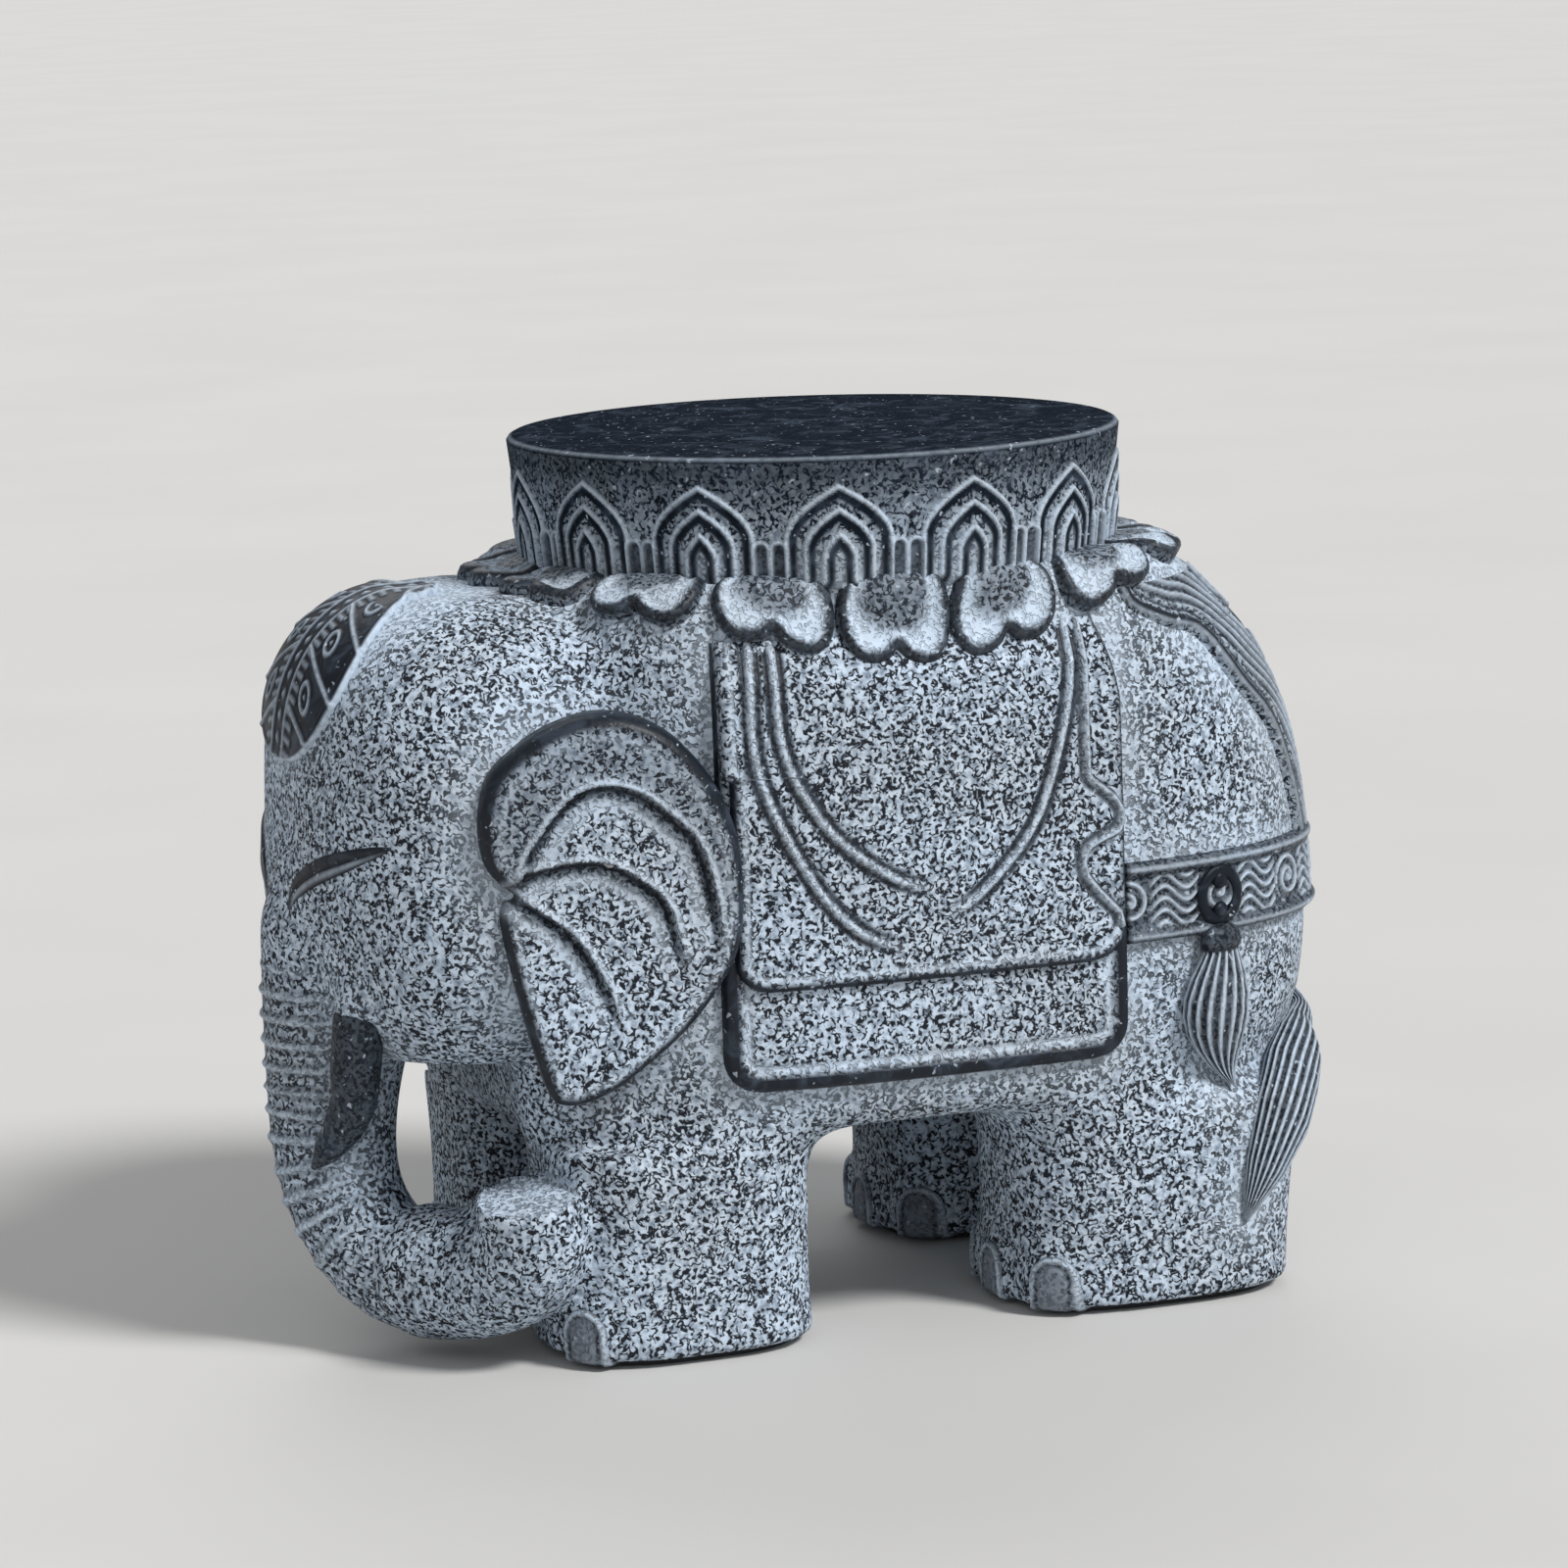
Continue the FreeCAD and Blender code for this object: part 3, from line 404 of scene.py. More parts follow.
def noise(tree, coordinates, scale, detail, distortion):
    sockets = {"Vector": coordinates, "Scale": scale, "Detail": detail, "Distortion": distortion}
    return add_node(tree, "ShaderNodeTexNoise", sockets).outputs[0]


def new_finish(name):
    """New material, with its node tree, its shader's inputs and the piece's own coordinates."""
    material = bpy.data.materials.new(name)
    material.use_nodes = True
    tree = material.node_tree
    coordinates = add_node(tree, "ShaderNodeTexCoord", {}).outputs["Object"]
    return material, tree, tree.nodes["Principled BSDF"].inputs, coordinates


def stone_finish(name, pit_depth, gloss):
    """Chiselled slate with a pale wash over a pitted face; polish and wash come from the piece."""
    material, tree, shader, coordinates = new_finish(name)
    polished = add_node(tree, "ShaderNodeAttribute", {}, attribute_name="polish").outputs["Fac"]
    washed = add_node(tree, "ShaderNodeAttribute", {}, attribute_name="wash").outputs["Fac"]
    worms = noise(tree, coordinates, PIT_SCALE, 1.0, 0.6)
    breaks = noise(tree, coordinates, PIT_SCALE * 1.3, 0.0, 0.0)
    patches = noise(tree, coordinates, 17.0, 2.0, 0.0)
    dust = noise(tree, coordinates, 330.0, 3.0, 0.0)
    swirls = noise(tree, coordinates, 55.0, 4.0, 1.6)
    from_line = math_node(tree, "ABSOLUTE", math_node(tree, "SUBTRACT", worms, 0.5), 0.0)
    lines = ease(tree, from_line, PIT_WIDTH * 0.35, PIT_WIDTH, 1.0, 0.0)
    limit = ease(tree, patches, 0.3, 0.7, -0.02, 0.02)
    whole = ease(tree, math_node(tree, "ADD", breaks, limit), 0.40, 0.52, 0.0, 1.0)
    pits = math_node(tree, "MULTIPLY", lines, whole)
    pale = blend_colour(tree, ease(tree, patches, 0.35, 0.65, 0.0, 1.0), PALE_WASH, DUSTY_WASH)
    field = blend_colour(tree, ease(tree, dust, 0.35, 0.75, 0.0, 0.85), pale, WASH_GREY)
    chiselled = blend_colour(tree, pits, field, PIT_SLATE)
    rubbed = blend_colour(tree, ease(tree, swirls, 0.46, 0.78, 0.0, 1.0), POLISHED_SLATE, WORN_SLATE)
    flecks = ease(tree, worms, 0.70, 0.76, 0.0, 0.6)
    finished = blend_colour(tree, polished, chiselled, blend_colour(tree, flecks, rubbed, pale))
    settled = math_node(tree, "MULTIPLY", washed, ease(tree, dust, 0.25, 0.60, 0.6, 1.0))
    dull = add_node(tree, "ShaderNodeMix", {0: polished, 2: 0.75, 3: 0.42}).outputs[0]
    sunk = math_node(tree, "MULTIPLY", pits, math_node(tree, "SUBTRACT", 1.0, polished))
    height = math_node(tree, "SUBTRACT", ease(tree, dust, 0.2, 0.8, 0.0, 0.15), sunk)
    relief = add_node(tree, "ShaderNodeBump", {"Height": height, "Strength": 0.7, "Distance": pit_depth})
    plug(tree, shader, {"Base Color": blend_colour(tree, settled, finished, pale), "Roughness": dull,
                        "Specular IOR Level": gloss, "Normal": relief.outputs[0]})
    return material


washed_stone = stone_finish("washed_stone", 0.0013, 0.25)


def finish_piece(name, bm, material, nodes=()):
    """Makes a mesh a piece of the stool that stands for the named castings."""
    for face in bm.faces:
        face.smooth = True
    mesh = to_mesh(name, bm)
    mesh.materials.append(material)
    piece = link(name, mesh)
    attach(piece, "root")
    if nodes:
        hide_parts(*nodes)


def cut_away(bm, point, normal):
    """Cuts off what lies on the normal's side of a plane and closes the cut."""
    geometry = bm.verts[:] + bm.edges[:] + bm.faces[:]
    bmesh.ops.bisect_plane(bm, geom=geometry, plane_co=point, plane_no=normal, clear_outer=True)
    rim = [edge for edge in bm.edges if edge.is_boundary]
    for edge in rim:
        edge.smooth = False
    bmesh.ops.holes_fill(bm, edges=rim, sides=0)


for casting, cuts in DRESSED_CUTS.items():
    part = body.copy()
    for point, normal in cuts:
        cut_away(part, point, normal)
    finish_piece("dressed_" + casting, part, washed_stone, [casting])


# Foot pads and dowels. Thin rubber pads are glued under the feet, and steel pins, out of sight, hold the
# castings to each other.
RUBBER_BLACK = (0.018, 0.018, 0.019, 1)
RUBBER_GREY = (0.045, 0.045, 0.046, 1)
STEEL_BRIGHT = (0.58, 0.58, 0.59, 1)
STEEL_DULL = (0.36, 0.36, 0.37, 1)
DOWEL_NODES = ("leg_dowels", "head_dowels", "seat_dowels", "ear_dowels", "trunk_dowel", "tail_dowel")


def plain_finish(name, first, second, scale, metallic, roughness):
    """Two close tones mixed by a fine grain, with the same grain as a slight bump."""
    material, tree, shader, coordinates = new_finish(name)
    grain = noise(tree, coordinates, scale, 3.0, 0.0)
    relief = add_node(tree, "ShaderNodeBump", {"Height": grain, "Strength": 0.2, "Distance": 0.0003})
    colour = blend_colour(tree, ease(tree, grain, 0.3, 0.7, 0.0, 1.0), first, second)
    plug(tree, shader, {"Base Color": colour, "Metallic": metallic, "Normal": relief.outputs[0],
                        "Roughness": ease(tree, grain, 0.2, 0.8, roughness - 0.08, roughness + 0.08)})
    return material


def dress_node(node, material):
    node_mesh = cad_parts[node].data
    node_mesh.materials.clear()
    node_mesh.materials.append(material)


dress_node("foot_pads", plain_finish("pad_rubber", RUBBER_BLACK, RUBBER_GREY, 900.0, 0.0, 0.75))
dowel_steel = plain_finish("dowel_steel", STEEL_BRIGHT, STEEL_DULL, 700.0, 1.0, 0.38)
for node in DOWEL_NODES:
    dress_node(node, dowel_steel)


# Toenails. Each foot has three arched nails in low relief on its front, cast with the leg; their rims
# are rubbed pale and their faces smooth.
NAIL_HALF_WIDTH = 0.0105
NAIL_HEIGHT = 0.0235
NAIL_RELIEF = 0.0016
NAIL_RIM = 0.0016
NAIL_TURNS = (-33.0, 0.0, 33.0)
NAIL_RIM_RISE = 0.0008
NAIL_GAP_CUT = 0.0007
NAIL_STAND_OFF = 0.010
NAIL_RINGS = 14
LEG_REACH = 0.12
SINK = 0.003


def columns(*coordinates):
    """Points from their coordinates, of which any may be one value for all."""
    return np.stack(np.broadcast_arrays(*coordinates), 1)


def land(starts, headings):
    """Where lines from the starts along the headings meet the body."""
    met = []
    for start, heading in zip(starts, np.broadcast_to(headings, starts.shape)):
        place = body_tree.ray_cast(Vector(start), Vector(heading))[0]
        met.append(place if place is not None else body_tree.find_nearest(Vector(start))[0])
    return np.array([place[:] for place in met])


def round_chart(centre, outline, rings):
    """Flat disc of rings between a centre and a closed outline."""
    chart = bmesh.new()
    bmesh.ops.create_grid(chart, x_segments=len(outline), y_segments=rings, size=0.5)
    for vert in chart.verts:
        edge = outline[round((vert.co.x + 0.5) * len(outline)) % len(outline)]
        share = vert.co.y + 0.5
        vert.co = (centre[0] + share * (edge[0] - centre[0]), centre[1] + share * (edge[1] - centre[1]), 0)
    bmesh.ops.remove_doubles(chart, verts=chart.verts, dist=1e-7)
    return chart


def carved(chart, place, relief, away, sink=SINK):
    """Lays a flat chart on its carrier, raises its relief and closes it with a back sunk in the carrier."""
    number = chart.verts.layers.int.new("number")
    chart.verts.index_update()
    for vert in chart.verts:
        vert[number] = vert.index
    flat = places(chart.verts)[:, :2]
    heights, polish, wash = relief(flat)
    set_shares(chart, polish, wash)
    ground = place(flat)
    move_to(chart.verts, ground)
    chart.normal_update()
    normals = outward(chart.verts)
    if (normals @ away).sum() < 0:
        normals = -normals
    lower = chart.verts[:]
    geometry = chart.verts[:] + chart.edges[:] + chart.faces[:]
    grown = bmesh.ops.extrude_face_region(chart, geom=geometry, use_keep_orig=True)["geom"]
    upper = [item for item in grown if isinstance(item, bmesh.types.BMVert)]
    for verts, rises in ((upper, heights), (lower, np.full(len(flat), -sink))):
        for vert in verts:
            index = vert[number]
            vert.co = ground[index] + normals[index] * rises[index]
    chart.verts.layers.int.remove(number)
    bmesh.ops.recalc_face_normals(chart, faces=chart.faces[:])
    return chart


def rolled(edge, radius):
    """Height lost towards an edge that is rounded over."""
    share = np.clip(1 - edge / radius, 0, 1)
    return radius * (np.sqrt(np.clip(1 - share * share, 0, 1)) - 1)


nail_turn = np.linspace(0, math.pi, 33)
nail_arch = columns(NAIL_HALF_WIDTH * np.cos(nail_turn),
                    NAIL_HEIGHT - NAIL_HALF_WIDTH * (1 - np.sin(nail_turn)))
nail_rim_line = np.vstack([[(NAIL_HALF_WIDTH, 0)], nail_arch, [(-NAIL_HALF_WIDTH, 0)]])
nail_foot = columns(np.linspace(-NAIL_HALF_WIDTH, NAIL_HALF_WIDTH, 14)[1:-1], 0)
nail_outline = np.vstack([nail_rim_line, nail_foot])


def nail_relief(flat):
    edge, _ = line_distance(flat, nail_rim_line)
    rim = ridge(edge, NAIL_RIM, NAIL_RIM)
    gap = ridge(edge, 2.4 * NAIL_RIM, NAIL_RIM)
    heights = NAIL_RELIEF + rolled(edge, NAIL_RELIEF) + NAIL_RIM_RISE * rim - NAIL_GAP_CUT * gap
    return heights, 0.75 - 0.5 * rim, np.clip(0.8 * rim + 0.22 * (edge > 2.5 * NAIL_RIM), 0, 1)


for leg_name in ("front_leg_left", "front_leg_right", "hind_leg_left", "hind_leg_right"):
    low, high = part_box(leg_name)
    leg_centre = np.array([(low.x + high.x) / 2, (low.y + high.y) / 2, low.z])
    nails = bmesh.new()
    for turn in NAIL_TURNS:
        reach = np.array([-math.cos(math.radians(turn)), -math.sin(math.radians(turn)), 0])
        across = np.array([-reach[1], reach[0], 0])

        def nail_place(flat):
            starts = leg_centre + reach * LEG_REACH + flat[:, :1] * across + flat[:, 1:] * (0, 0, 1)
            return land(starts, -reach)

        stand = ((nail_place(nail_outline) - leg_centre) @ reach).max()
        if stand < (high.x - low.x) / 2 + NAIL_STAND_OFF:
            chart = round_chart((0, NAIL_HEIGHT / 2), nail_outline, NAIL_RINGS)
            gather(nails, carved(chart, nail_place, nail_relief, reach))
    finish_piece("toenails_" + leg_name, nails, washed_stone)


# Eyes. Each is a closed lid carved on the face: a narrow leaf in low relief, rubbed dark, with a slit
# along its middle and a paler lower lid.
EYE_LINE = ((-0.2260, 0.0145, 0.1905), (-0.2255, 0.0220, 0.2005), (-0.2225, 0.0385, 0.2100),
            (-0.2160, 0.0590, 0.2175), (-0.2020, 0.0805, 0.2250))
EYE_HALF_WIDTH = 0.0052
EYE_RELIEF = 0.0013
EYE_SLIT = 0.0013
EYE_SLIT_CUT = 0.0011
EYE_ROLL = 0.0013
EYE_SINK = 0.002
EYE_STAND_OFF = 0.06
EYE_FORWARD = -0.75
EYE_ASIDE = (0.1, 0.8)
EYE_UPWARD = 0.1
EYE_THIN_END = 0.0002
EYE_GRID = (22, 90)


def ruled_chart(grid, levels, left_edge, right_edge):
    """Flat grid between two side edges that are given level by level."""
    chart = bmesh.new()
    bmesh.ops.create_grid(chart, x_segments=grid[0], y_segments=grid[1], size=0.5)
    for vert in chart.verts:
        level = levels[0] + (vert.co.y + 0.5) * (levels[1] - levels[0])
        left, right = left_edge(level), right_edge(level)
        vert.co = (left + (vert.co.x + 0.5) * (right - left), level, 0)
    return chart


def eye_half_width(share):
    return EYE_HALF_WIDTH * max(math.sin(math.pi * share), 0.0) ** 0.6 + EYE_THIN_END


for word, side in SIDES.items():
    lid_line = curve_through(mirrored(EYE_LINE, side))
    lid_share = np.linspace(0, 1, len(lid_line))

    def lid_place(flat):
        along = flat[:, 1]
        middle, heading = (columns(*[np.interp(along, lid_share, axis) for axis in line.T])
                           for line in (lid_line, np.gradient(lid_line, axis=0)))
        out = columns(EYE_FORWARD, np.interp(along, (0, 1), EYE_ASIDE) * side, EYE_UPWARD)
        up = unit(np.cross(heading, out) * side)
        return land(middle + up * flat[:, :1] + out * EYE_STAND_OFF, -out)

    def lid_relief(flat):
        across, along = flat.T
        half = np.array([eye_half_width(share) for share in along])
        breadth = half / EYE_HALF_WIDTH
        slit = fall(np.abs(across), EYE_SLIT) * np.clip(breadth * 2 - 0.8, 0, 1)
        inner = 0.3 + 0.7 * np.clip(along / 0.4, 0, 1)
        heights = EYE_RELIEF * inner * np.clip(breadth, 0, 1) + rolled(half - np.abs(across), EYE_ROLL)
        lower_lid = ridge(across / half, -0.5, 0.42) * np.clip(breadth * 2 - 0.6, 0, 1)
        return heights - EYE_SLIT_CUT * slit, 1.0, 0.5 * lower_lid

    chart = ruled_chart(EYE_GRID, (0.0, 1.0), lambda share: -eye_half_width(share), eye_half_width)
    lid = carved(chart, lid_place, lid_relief, (-1.0, 0.5 * side, 0.0), EYE_SINK)
    finish_piece("eye_lid_" + word, lid, washed_stone)


# Tusks. Short polished stone blades with a tenon in the head; they lie close against the trunk's sides
# and bend forwards to a narrow tip.
TUSK_LINE = ((-0.2105, 0.0500, 0.1558), (-0.2113, 0.0500, 0.1475), (-0.2126, 0.0473, 0.1270),
             (-0.2134, 0.0450, 0.1128), (-0.2176, 0.0418, 0.1012), (-0.2244, 0.0385, 0.0907),
             (-0.2290, 0.0335, 0.0830))
TUSK_RADII = (0.0080, 0.0110, 0.0108, 0.0098, 0.0088, 0.0058, 0.0012)
RIGHT_TUSK_SWING = (0.004, -0.003, 0.0)
RUBBED = 0.9
FULL_GROOVE_RADIUS = 0.008


def groove_share(turn, count):
    """Nothing on the ridges between a number of grooves, and one at the bottom of each groove."""
    return 0.5 - 0.5 * math.cos(count * turn)


def swept(line, radii, flatten, grooves, groove_depth, spokes=64, per_span=12):
    """Round piece along a line, with a radius at each point and grooves that run along it."""
    spine = curve_through(line, per_span=per_span)
    radius = spread(radii, len(spine))
    heading = unit(np.gradient(spine, axis=0))
    thickness = np.linalg.norm(flatten)
    shape = bmesh.new()
    bmesh.ops.create_grid(shape, x_segments=spokes, y_segments=len(spine) - 1, size=0.5)
    wash = []
    for vert in shape.verts:
        step = round((vert.co.y + 0.5) * (len(spine) - 1))
        turn = 2 * math.pi * (round((vert.co.x + 0.5) * spokes) % spokes) / spokes
        broad = unit(np.cross(heading[step], flatten))
        thin = np.cross(broad, heading[step])
        groove = groove_share(turn, grooves)
        size = radius[step] - groove_depth * groove * min(1.0, radius[step] / FULL_GROOVE_RADIUS)
        vert.co = spine[step] + broad * math.cos(turn) * size + thin * math.sin(turn) * size * thickness
        wash.append(max(0.0, 1 - 2.2 * groove) if grooves else 0.0)
    set_shares(shape, RUBBED, wash)
    bmesh.ops.remove_doubles(shape, verts=shape.verts, dist=1e-7)
    rims = [edge for edge in shape.edges if edge.is_boundary]
    bmesh.ops.holes_fill(shape, edges=rims, sides=0)
    bmesh.ops.recalc_face_normals(shape, faces=shape.faces[:])
    return shape


polished_stone = stone_finish("polished_stone", 0.0006, 0.14)
for word, side in SIDES.items():
    swing = np.linspace(0, max(side, 0), len(TUSK_LINE))[:, None] * RIGHT_TUSK_SWING
    tusk = swept(mirrored(TUSK_LINE, side) + swing, TUSK_RADII, (0.0, 1.0, 0.0), 0, 0.0)
    finish_piece("tusk_stub_" + word, tusk, polished_stone, ["tusk_" + word])


# Ears. Each is a slab of stone pinned to the side of the head, carved with three folds that fan out from
# a pivot at the cheek, inside a thick polished rim.
EAR_EDGE = ((-0.1594, 0.2055), (-0.1691, 0.2179), (-0.1714, 0.2367), (-0.1666, 0.2551), (-0.1549, 0.2661),
            (-0.1410, 0.2746), (-0.1226, 0.2794), (-0.1045, 0.2761), (-0.0888, 0.2659), (-0.0750, 0.2476),
            (-0.0665, 0.2260), (-0.0645, 0.2023), (-0.0660, 0.1835), (-0.0720, 0.1672), (-0.0897, 0.1445),
            (-0.1141, 0.1246), (-0.1281, 0.1172), (-0.1397, 0.1156), (-0.1464, 0.1208), (-0.1525, 0.1414),
            (-0.1595, 0.1702), (-0.1639, 0.1941), (-0.1629, 0.2022))
EAR_FOLDS = (
    ((-0.1623, 0.2087), (-0.1558, 0.2109), (-0.1511, 0.2248), (-0.1311, 0.2474), (-0.1097, 0.2476),
     (-0.0888, 0.2314), (-0.0806, 0.2183), (-0.0751, 0.1889), (-0.0779, 0.1706)),
    ((-0.1623, 0.2087), (-0.1493, 0.2156), (-0.1236, 0.2182), (-0.1047, 0.2082), (-0.0944, 0.1949),
     (-0.0889, 0.1654)),
    ((-0.1623, 0.2087), (-0.1499, 0.2002), (-0.1334, 0.1863), (-0.1213, 0.1645), (-0.1156, 0.1433)),
)
EAR_CENTRE = (-0.118, 0.195)
EAR_THICKNESS = 0.016
EAR_RIM = 0.0080
EAR_FOLD_DEPTH = 0.0040
EAR_FOLD_SLOPE = 0.015
EAR_FOLD_LIP = 0.0016
EAR_FOLD_CUT = 0.0030
EAR_LIP_REACH = 0.0055
# Place and width of the pale painted highlight along the lip of each ear fold.
EAR_HIGHLIGHT_LINE = 0.0018
EAR_HIGHLIGHT_WIDTH = 0.0020
EAR_WALL = 0.0075
EAR_WALL_WIDTH = 0.0045
EAR_FOOT = ((-0.1500, 0.10), (-0.1700, 0.19))
EAR_RINGS = 84
EAR_SWELL_RUN = 0.05
EAR_RIM_WASH = 0.0022
EAR_FOLD_START = 0.02
EAR_FOLD_FADE = 0.03
EAR_FOOT_SHIFT = 0.01
OUTER_LOBE_FOOT_Z = 0.170
OUTER_LOBE_DUSK = 0.45
OUTER_LOBE_EASE = 0.03
EAR_FRONT_Y = 0.112
EAR_BACK_Y = 0.135
ear_edge = curve_through(EAR_EDGE, closed=True, per_span=16)
ear_loop = np.vstack([ear_edge, ear_edge[:1]])
ear_span = (ear_edge[:, 0].min(), ear_edge[:, 0].max())


def inside(points, outline):
    """Which points lie within a closed outline."""
    within = np.zeros(len(points), bool)
    for start, end in zip(outline, np.roll(outline, -1, axis=0)):
        crosses = (start[1] > points[:, 1]) != (end[1] > points[:, 1])
        rise = end[1] - start[1] if end[1] != start[1] else 1e-12
        at = start[0] + (points[:, 1] - start[1]) * (end[0] - start[0]) / rise
        within ^= crosses & (points[:, 0] < at)
    return within


def stripe(distance, half_width):
    """One over the middle of a stripe, with short soft sides."""
    return np.clip(1.8 * fall(distance, half_width), 0, 1)


def run_lengths(line):
    """How far along a line each of its points lies."""
    return np.concatenate([[0], np.cumsum(np.linalg.norm(np.diff(line, axis=0), axis=1))])


def ear_relief(flat):
    up = flat[:, 1]
    edge, _ = line_distance(flat, ear_loop)
    heights = EAR_THICKNESS + rolled(edge, EAR_RIM)
    rim_width = EAR_RIM * (0.7 + 0.5 * ramp(EAR_CENTRE[1], up, EAR_SWELL_RUN))
    polish = stripe(edge, rim_width)
    wash = 0.3 * ridge(edge, rim_width, EAR_RIM_WASH)
    for fold in EAR_FOLDS:
        line = curve_through(fold)
        distance, along = line_distance(flat, line)
        fade = ramp(along, run_lengths(line)[-1], EAR_FOLD_FADE)
        fade *= np.clip(0.35 + along / EAR_FOLD_START, 0, 1)
        foot = (line[-1, 0] - EAR_FOOT_SHIFT, EAR_FOOT[0][1])
        below = inside(flat, np.vstack([line, foot, EAR_FOOT]))
        if fold is EAR_FOLDS[0]:
            dusk = OUTER_LOBE_DUSK * ~below * ramp(OUTER_LOBE_FOOT_Z, up, OUTER_LOBE_EASE)
            polish = np.maximum(polish, dusk)
        # Each fold has a narrow carved cut. Its dark polish share is painted shade, standing for the shadow
        # under the lip above it, and the painted shade also clears the wash there.
        cut = ridge(distance, EAR_FOLD_CUT * 0.6, EAR_FOLD_CUT) * fade * below
        scoop = np.exp(-distance / EAR_FOLD_SLOPE) * fade * below
        wall = ridge(distance, EAR_WALL, EAR_WALL_WIDTH) * fade * below
        lip = fall(distance, EAR_LIP_REACH) * fade * ~below
        # The pale line along the lip beside each fold is a painted highlight.
        crest = ridge(distance, EAR_HIGHLIGHT_LINE, EAR_HIGHLIGHT_WIDTH) * fade * ~below
        heights += EAR_FOLD_LIP * lip - EAR_FOLD_DEPTH * scoop - 0.6 * EAR_FOLD_CUT * cut
        polish = np.maximum.reduce([polish, cut, 0.3 * wall])
        wash = np.maximum.reduce([wash * (1 - cut), 0.75 * crest, 0.6 * wall])
    return heights, np.clip(polish, 0, 1), wash


for word, side in SIDES.items():

    def ear_place(flat):
        share = (flat[:, 0] - ear_span[0]) / (ear_span[1] - ear_span[0])
        outer = EAR_FRONT_Y + (EAR_BACK_Y - EAR_FRONT_Y) * share - EAR_THICKNESS
        return columns(flat[:, 0], side * outer, flat[:, 1])

    ear = carved(round_chart(EAR_CENTRE, ear_edge, EAR_RINGS), ear_place, ear_relief, (0, side, 0), 0.0)
    finish_piece("carved_ear_" + word, ear, washed_stone, ["ear_" + word])


# Saddle skirts. A stone panel in low relief is bonded on each flank; its lower edge is a broad polished
# border with a groove inside it that holds the wash.
SKIRT_EDGE_X = (-0.0735, 0.1075)
SKIRT_LEVELS = (0.1140, 0.3040)
SKIRT_CORNER = 0.016
SKIRT_LIFT = 0.0034
SKIRT_ROLL = 0.0026
SKIRT_BORDER = 0.0086
SKIRT_BORDER_RISE = 0.0014
SKIRT_RIM = 0.0042
SKIRT_TOP_INSET = 0.011
SKIRT_BEND_Z = 0.266
SKIRT_GROOVE = 0.0022
SKIRT_GROOVE_OUT = 0.0016
SKIRT_GROOVE_CUT = 0.0013
TUCK_DEPTH = 0.018
TUCKED_LIFT = 0.001
BORDER_TOP_Z = 0.190
BORDER_EASE = 0.02
SKIRT_GRID = (124, 124)
FAR_OUT = 0.4


def hang_panels(name, node, grid, levels, front, back, relief):
    """Carves a hanging panel on each flank."""
    for word, side in SIDES.items():

        def flank_place(flat):
            return land(columns(flat[:, 0], side * FAR_OUT, flat[:, 1]), (0.0, -side, 0.0))

        panel = carved(ruled_chart(grid, levels, front, back), flank_place, relief, (0, side, 0))
        finish_piece(name + word, panel, washed_stone, [node + word])


def corner_inset(level, foot, corner):
    """How far a rounded lower corner draws a panel's side edge in."""
    rise = min(max(corner - (level - foot), 0.0), corner)
    return corner - math.sqrt(corner ** 2 - rise ** 2)


def skirt_front(level):
    return SKIRT_EDGE_X[0] + corner_inset(level, SKIRT_LEVELS[0], SKIRT_CORNER)


def skirt_back(level):
    bend = max((level - SKIRT_BEND_Z) / (SKIRT_LEVELS[1] - SKIRT_BEND_Z), 0.0)
    corner = corner_inset(level, SKIRT_LEVELS[0], SKIRT_CORNER)
    return SKIRT_EDGE_X[1] - corner - SKIRT_TOP_INSET * bend ** 1.5


def panel_edge(front, back, levels):
    """Open outline of a hanging panel, from the top of its front edge round to the top of its back edge."""
    steps = np.linspace(levels[1], levels[0], 140)
    down = [(front(level), level) for level in steps]
    up = [(back(level), level) for level in steps[::-1]]
    return np.array(down + up)


skirt_edge = panel_edge(skirt_front, skirt_back, SKIRT_LEVELS)


def tucked(lift, levels):
    """A panel's lift, thinned at its top where it goes under the lotus petals."""
    return TUCKED_LIFT + (lift - TUCKED_LIFT) * ramp(levels, SKIRT_LEVELS[1], TUCK_DEPTH)


def skirt_relief(flat):
    up = flat[:, 1]
    edge, _ = line_distance(flat, skirt_edge)
    low_share = ramp(up, BORDER_TOP_Z, BORDER_EASE)
    border = ridge(edge, SKIRT_BORDER / 2, SKIRT_BORDER * 0.62) * low_share
    groove = ridge(edge - SKIRT_BORDER, SKIRT_GROOVE_OUT, SKIRT_GROOVE) * low_share
    heights = tucked(SKIRT_LIFT, up) + rolled(edge, SKIRT_ROLL)
    heights += SKIRT_BORDER_RISE * border - SKIRT_GROOVE_CUT * groove
    return heights, np.maximum(np.clip(border * 1.5, 0, 1), stripe(edge, SKIRT_RIM)), 0.95 * groove


hang_panels("skirt_panel_", "saddle_skirt_", SKIRT_GRID, SKIRT_LEVELS, skirt_front, skirt_back, skirt_relief)


# Saddle cloths. A thicker panel is bonded over each skirt. Three swags of cord are carved in it, its
# front has a strap, and its back edge is cut in lobes and hemmed with a cord.
CLOTH_LEVELS = (0.1570, 0.3040)
CLOTH_FRONT_X = -0.0680
CLOTH_CORNER = 0.014
CLOTH_LIFT = 0.0072
# Width of the dark stripe of painted shade along the cloth's rolled edge.
CLOTH_SHADED_RIM = 0.0046
CLOTH_ROLL = 0.0034
CLOTH_WASH_WIDTH = 0.0018
CLOTH_BACK = ((0.1570, 0.0880), (0.1585, 0.0960), (0.1640, 0.1035), (0.1720, 0.1055), (0.1790, 0.1040),
              (0.1894, 0.0940), (0.1960, 0.0888), (0.2010, 0.0878), (0.2045, 0.0890), (0.2070, 0.0935),
              (0.2105, 0.1035), (0.2160, 0.1062), (0.2225, 0.1060), (0.2290, 0.1020), (0.2340, 0.0960),
              (0.2380, 0.0908), (0.2500, 0.0905), (0.3040, 0.0905))
